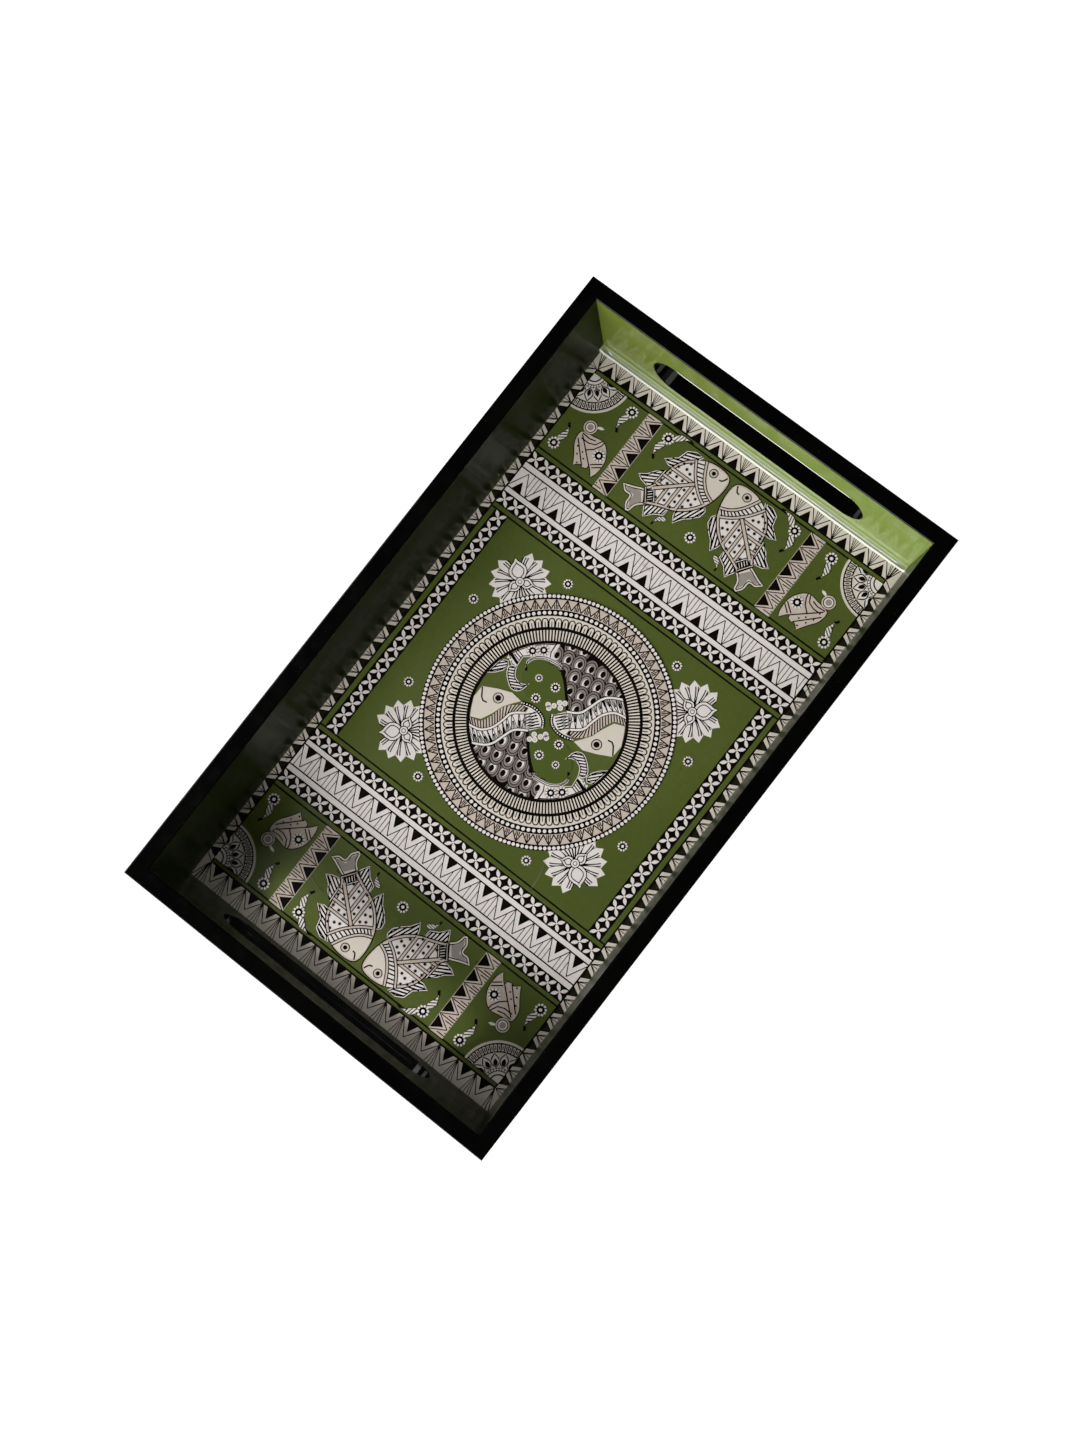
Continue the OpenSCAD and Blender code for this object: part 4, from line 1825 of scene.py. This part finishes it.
@dataclass
class Hardware:
    """The brads and the felt pads. Sizes in millimetres."""

    finishes: Finishes
    shank: float = 1.4
    head: float = 2.4
    head_depth: float = 0.6
    length: float = 20.0
    point: float = 1.0
    tip: float = 0.08
    draft: float = 0.96
    head_round: float = 0.14
    dome: float = 0.08
    proud: float = 0.04
    corner_levels: Point = (19.0, 45.0)
    end_places: Point = (-84.73, 84.73)
    side_places: tuple[float, ...] = (-140, -50, 50, 140)
    pad: float = 16.0
    pad_depth: float = 2.0
    pad_place: Point = (90.5, 168.0)
    pad_round: float = 0.35
    pad_rings: tuple[float, ...] = (1.2, 2.2, 2.0)
    pad_fluff: Point = (0.08, 0.03)

    def brad(self, bm: bmesh.types.BMesh, place: Matrix) -> None:
        """Adds a brad that stands on its head at a place, with its point up."""
        body = self.length - self.point
        neck = self.shank / 2 * self.draft
        self.rod(bm, place, 0, body, self.shank / 2, neck, 20)
        self.rod(bm, place, body, self.point, neck, self.tip, 20)
        disc = self.rod(bm, place, 0, self.head_depth, self.head / 2, self.head / 2, 24)
        rim = dict.fromkeys(e for v in disc for e in v.link_edges)
        soften(bm, [e for e in rim if e.calc_face_angle(0) > 1], self.head_round, 2)

    @staticmethod
    def rod(
        bm: bmesh.types.BMesh,
        place: Matrix,
        low: float,
        depth: float,
        radius: float,
        end: float,
        sides: int,
    ) -> list:
        """Adds a round rod or cone.

        Args:
            bm: The shape to add it to.
            place: Where its axis stands.
            low: Height of its foot along the axis.
            depth: Its length.
            radius: Its radius at the foot.
            end: Its radius at the other end.
            sides: How many sides it has.

        Returns:
            Its vertices.
        """
        return bmesh.ops.create_cone(
            bm,
            cap_ends=True,
            segments=sides,
            radius1=radius,
            radius2=end,
            depth=depth,
            matrix=place @ Matrix.Translation((0, 0, low + depth / 2)),
        )["verts"]

    def brads(self, name: str, places: Sequence[Matrix]) -> None:
        """Builds the brads of one node as one piece."""
        bm = bmesh.new()
        for place in places:
            self.brad(bm, place)
        for face in bm.faces:
            face.smooth = len(face.verts) < 6
        dress(make_piece(f"wire_{name}", bm, [self.finishes.steel]), "brad_steel", name)

    def felt(self, name: str, x: float, y: float) -> None:
        """Builds a felt pad with a soft, slightly uneven edge.

        Args:
            name: The model's node that it stands for.
            x: Its middle, across the tray.
            y: Its middle, along the tray.
        """
        bm = bmesh.new()
        depth = self.pad_depth
        self.rod(bm, Matrix.Translation((x, y, 0)), 0, depth, self.pad / 2, self.pad / 2, 48)
        soften(bm, [e for e in bm.edges if e.calc_face_angle(0) > 1], self.pad_round, 3)
        caps = [f for f in bm.faces if len(f.verts) > 8]
        for width in self.pad_rings:
            bmesh.ops.inset_region(bm, faces=caps, thickness=width)
        inwards, upwards = self.pad_fluff
        for vert in bm.verts:
            fluff = math.sin(vert.co.x * 5.1) * math.sin(vert.co.y * 4.3)
            away = Vector((vert.co.x - x, vert.co.y - y, 0))
            if away.length > 1:
                vert.co -= away.normalized() * (inwards + inwards * fluff)
            if vert.co.z < depth / 2:
                vert.co.z += upwards + upwards * fluff
        for face in bm.faces:
            face.smooth = len(face.verts) < 8
        dress(make_piece(f"soft_{name}", bm, [self.finishes.felt]), "pad_felt", name)

    def build(self, carcass: Carcass) -> None:
        """Builds all the brads and pads.

        Args:
            carcass: The boards that they hold.
        """
        wide, long = (half - carcass.board / 2 for half in carcass.foot_half)
        slope = math.tan(carcass.lean)
        low = carcass.base_z - self.proud
        for end, far in ((1, "far"), (-1, "near")):
            for side, hand in ((-1, "left"), (1, "right")):
                places = []
                for level in self.corner_levels:
                    out = slope * (level - carcass.foot_z)
                    back = carcass.foot_half[1] + out + self.dome
                    tilt = Matrix.Rotation(math.radians(90 * end), 4, "X")
                    spot = (side * (wide + out), end * back, level)
                    places.append(Matrix.Translation(spot) @ tilt)
                self.brads(f"corner_brads_{far}_{hand}", places)
                spot = (side * self.pad_place[0], end * self.pad_place[1])
                self.felt(f"felt_pad_{far}_{hand}", *spot)
            row = [Matrix.Translation((x, end * long, low)) for x in self.end_places]
            self.brads(f"base_brads_{far}", row)
        for side, hand in ((-1, "left"), (1, "right")):
            row = [Matrix.Translation((side * wide, y, low)) for y in self.side_places]
            self.brads(f"base_brads_{hand}", row)


@dataclass
class PrintSheet:
    """The printed sheet on the base, and the ink on it. Sizes in millimetres."""

    finishes: Finishes
    floor_z: float = 7.3
    foot_z: float = 7.0
    half: Point = (99.5, 177.0)

    def sheet(self) -> None:
        """The green sheet, cut from a grid and given its thickness."""
        bm = bmesh.new()
        place = Matrix.Translation((0, 0, self.floor_z)) @ Matrix.Diagonal((*self.half, 1, 1))
        bmesh.ops.create_grid(bm, x_segments=10, y_segments=18, size=1, matrix=place)
        grown = bmesh.ops.extrude_face_region(bm, geom=bm.faces[:], use_keep_orig=True)
        for vert in [v for v in grown["geom"] if isinstance(v, bmesh.types.BMVert)]:
            vert.co.z = self.foot_z
        bmesh.ops.recalc_face_normals(bm, faces=bm.faces[:])
        dress(make_piece("printed_sheet", bm, [self.finishes.ground]), "green_print", "art_print")

    def build(self) -> None:
        """Makes the sheet, draws every zone and presses the inks."""
        self.sheet()
        panels = Plate()
        panel = EndPanel().draw()
        for turn in (0, 180):
            panels.stamp(panel, across(0, 0, turn))
        borders, medallion = Borders(), Medallion()
        zones = {
            "border": borders.rim(),
            "bands": borders.bands(),
            "panels": panels,
            "flowers": borders.flowers(),
            "rings": medallion.rings(),
            "fish": medallion.draw(),
        }
        slots = {Ink.DARK: "dark_print", Ink.GREEN: "green_print"}
        middle = Vector((0, 0, self.floor_z))
        for name, plate in zones.items():
            for piece, ink in zip(plate.press(name, middle, self.finishes.inks), plate.inks):
                dress(piece, slots.get(ink, "cream_print"), "art_print")


# ------------------------------------------------------------------- the studio


@dataclass
class Lamp:
    """A soft light that looks at a point of the tray. Sizes in metres."""

    name: str
    heading: float
    height: float
    distance: float
    width: float
    power: float
    aim: tuple[float, float, float] = (0.0, 0.0, 0.02)
    colour: Colour = (1.0, 1.0, 1.0)

    def hang(self) -> None:
        """Places the light. Heading 0 is the near end and 90 the right; height is degrees up."""
        data = bpy.data.lights.new(self.name, "AREA")
        data.shape, data.size, data.energy, data.color = "DISK", self.width, self.power, self.colour
        lamp = bpy.data.objects.new(self.name, data)
        turn, up = math.radians(self.heading), math.radians(self.height)
        away = Vector((math.sin(turn) * math.cos(up), -math.cos(turn) * math.cos(up), math.sin(up)))
        lamp.location = Vector(self.aim) + away * self.distance
        lamp.rotation_euler = away.to_track_quat("Z", "Y").to_euler()
        bpy.context.scene.collection.objects.link(lamp)


@dataclass
class Studio:
    """A pale floor, soft light and the camera. Sizes in metres."""

    floor_radius: float = 6.0
    paper_glow: float = 1.12
    camera_place: tuple[float, float, float] = (0.16040, -0.06183, 1.11392)
    camera_way: tuple[float, float, float] = (-0.14627, 0.05362, -0.98779)
    camera_heading: float = 37.96
    lens: float = 53.68
    sensor: float = 36.0
    lamps: tuple[Lamp, ...] = (
        Lamp("key_light", -4, 32, 2.2, 0.45, 32),
        Lamp("window_fill", -10, 26, 2.2, 1.7, 50),
        Lamp("left_fill", -78, 49, 2.3, 1.2, 17),
        Lamp("corner_fill", 140, 40, 2.2, 1.2, 8),
    )

    def floor(self) -> None:
        """Lays the pale floor."""
        bm = bmesh.new()
        bmesh.ops.create_circle(bm, cap_ends=True, segments=96, radius=self.floor_radius / MM)
        paper = StudioPaper("studio_paper", (0.9, 0.9, 0.895), self.paper_glow).material()
        make_piece("studio_floor", bm, [paper])

    def world(self) -> None:
        """Lights the room evenly near the horizon and leaves it dark overhead."""
        world = bpy.data.worlds.new("studio_room")
        world.use_nodes = True
        tree = world.node_tree
        place = tree.nodes.new("ShaderNodeTexCoord")
        split = tree.nodes.new("ShaderNodeSeparateXYZ")
        fade = tree.nodes.new("ShaderNodeMapRange")
        tree.links.new(place.outputs["Generated"], split.inputs[0])
        tree.links.new(split.outputs["Z"], fade.inputs["Value"])
        for name, value in (("From Min", 0.0), ("From Max", 0.14), ("To Min", 0.9), ("To Max", 0.01)):
            fade.inputs[name].default_value = value
        background = tree.nodes["Background"]
        tree.links.new(fade.outputs[0], background.inputs["Strength"])
        bpy.context.scene.world = world

    def camera(self) -> None:
        """Sets the camera above the tray, looking a little across it."""
        data = bpy.data.cameras.new("studio_camera")
        data.lens, data.sensor_width = self.lens, self.sensor
        camera = bpy.data.objects.new("studio_camera", data)
        way = Vector(self.camera_way).normalized()
        turn = math.radians(self.camera_heading)
        hint = Vector((-math.sin(turn), math.cos(turn), 0))
        right = way.cross(hint).normalized()
        frame_axes = Matrix((right, right.cross(way), -way)).transposed().to_4x4()
        camera.matrix_world = Matrix.Translation(self.camera_place) @ frame_axes
        bpy.context.scene.collection.objects.link(camera)
        bpy.context.scene.camera = camera

    def build(self) -> None:
        """Sets up the whole studio."""
        self.floor()
        self.world()
        self.camera()
        for lamp in self.lamps:
            lamp.hang()
        bpy.context.scene.view_settings.view_transform = "Standard"


def main() -> None:
    """Builds the studio and the tray."""
    logging.basicConfig(level=logging.INFO, format="%(name)s %(message)s")
    finishes = Finishes()
    Studio().build()
    carcass = Carcass(finishes)
    carcass.build()
    Cove(finishes).build()
    Hardware(finishes).build(carcass)
    PrintSheet(finishes).build()


if __name__ == "__main__":
    main()
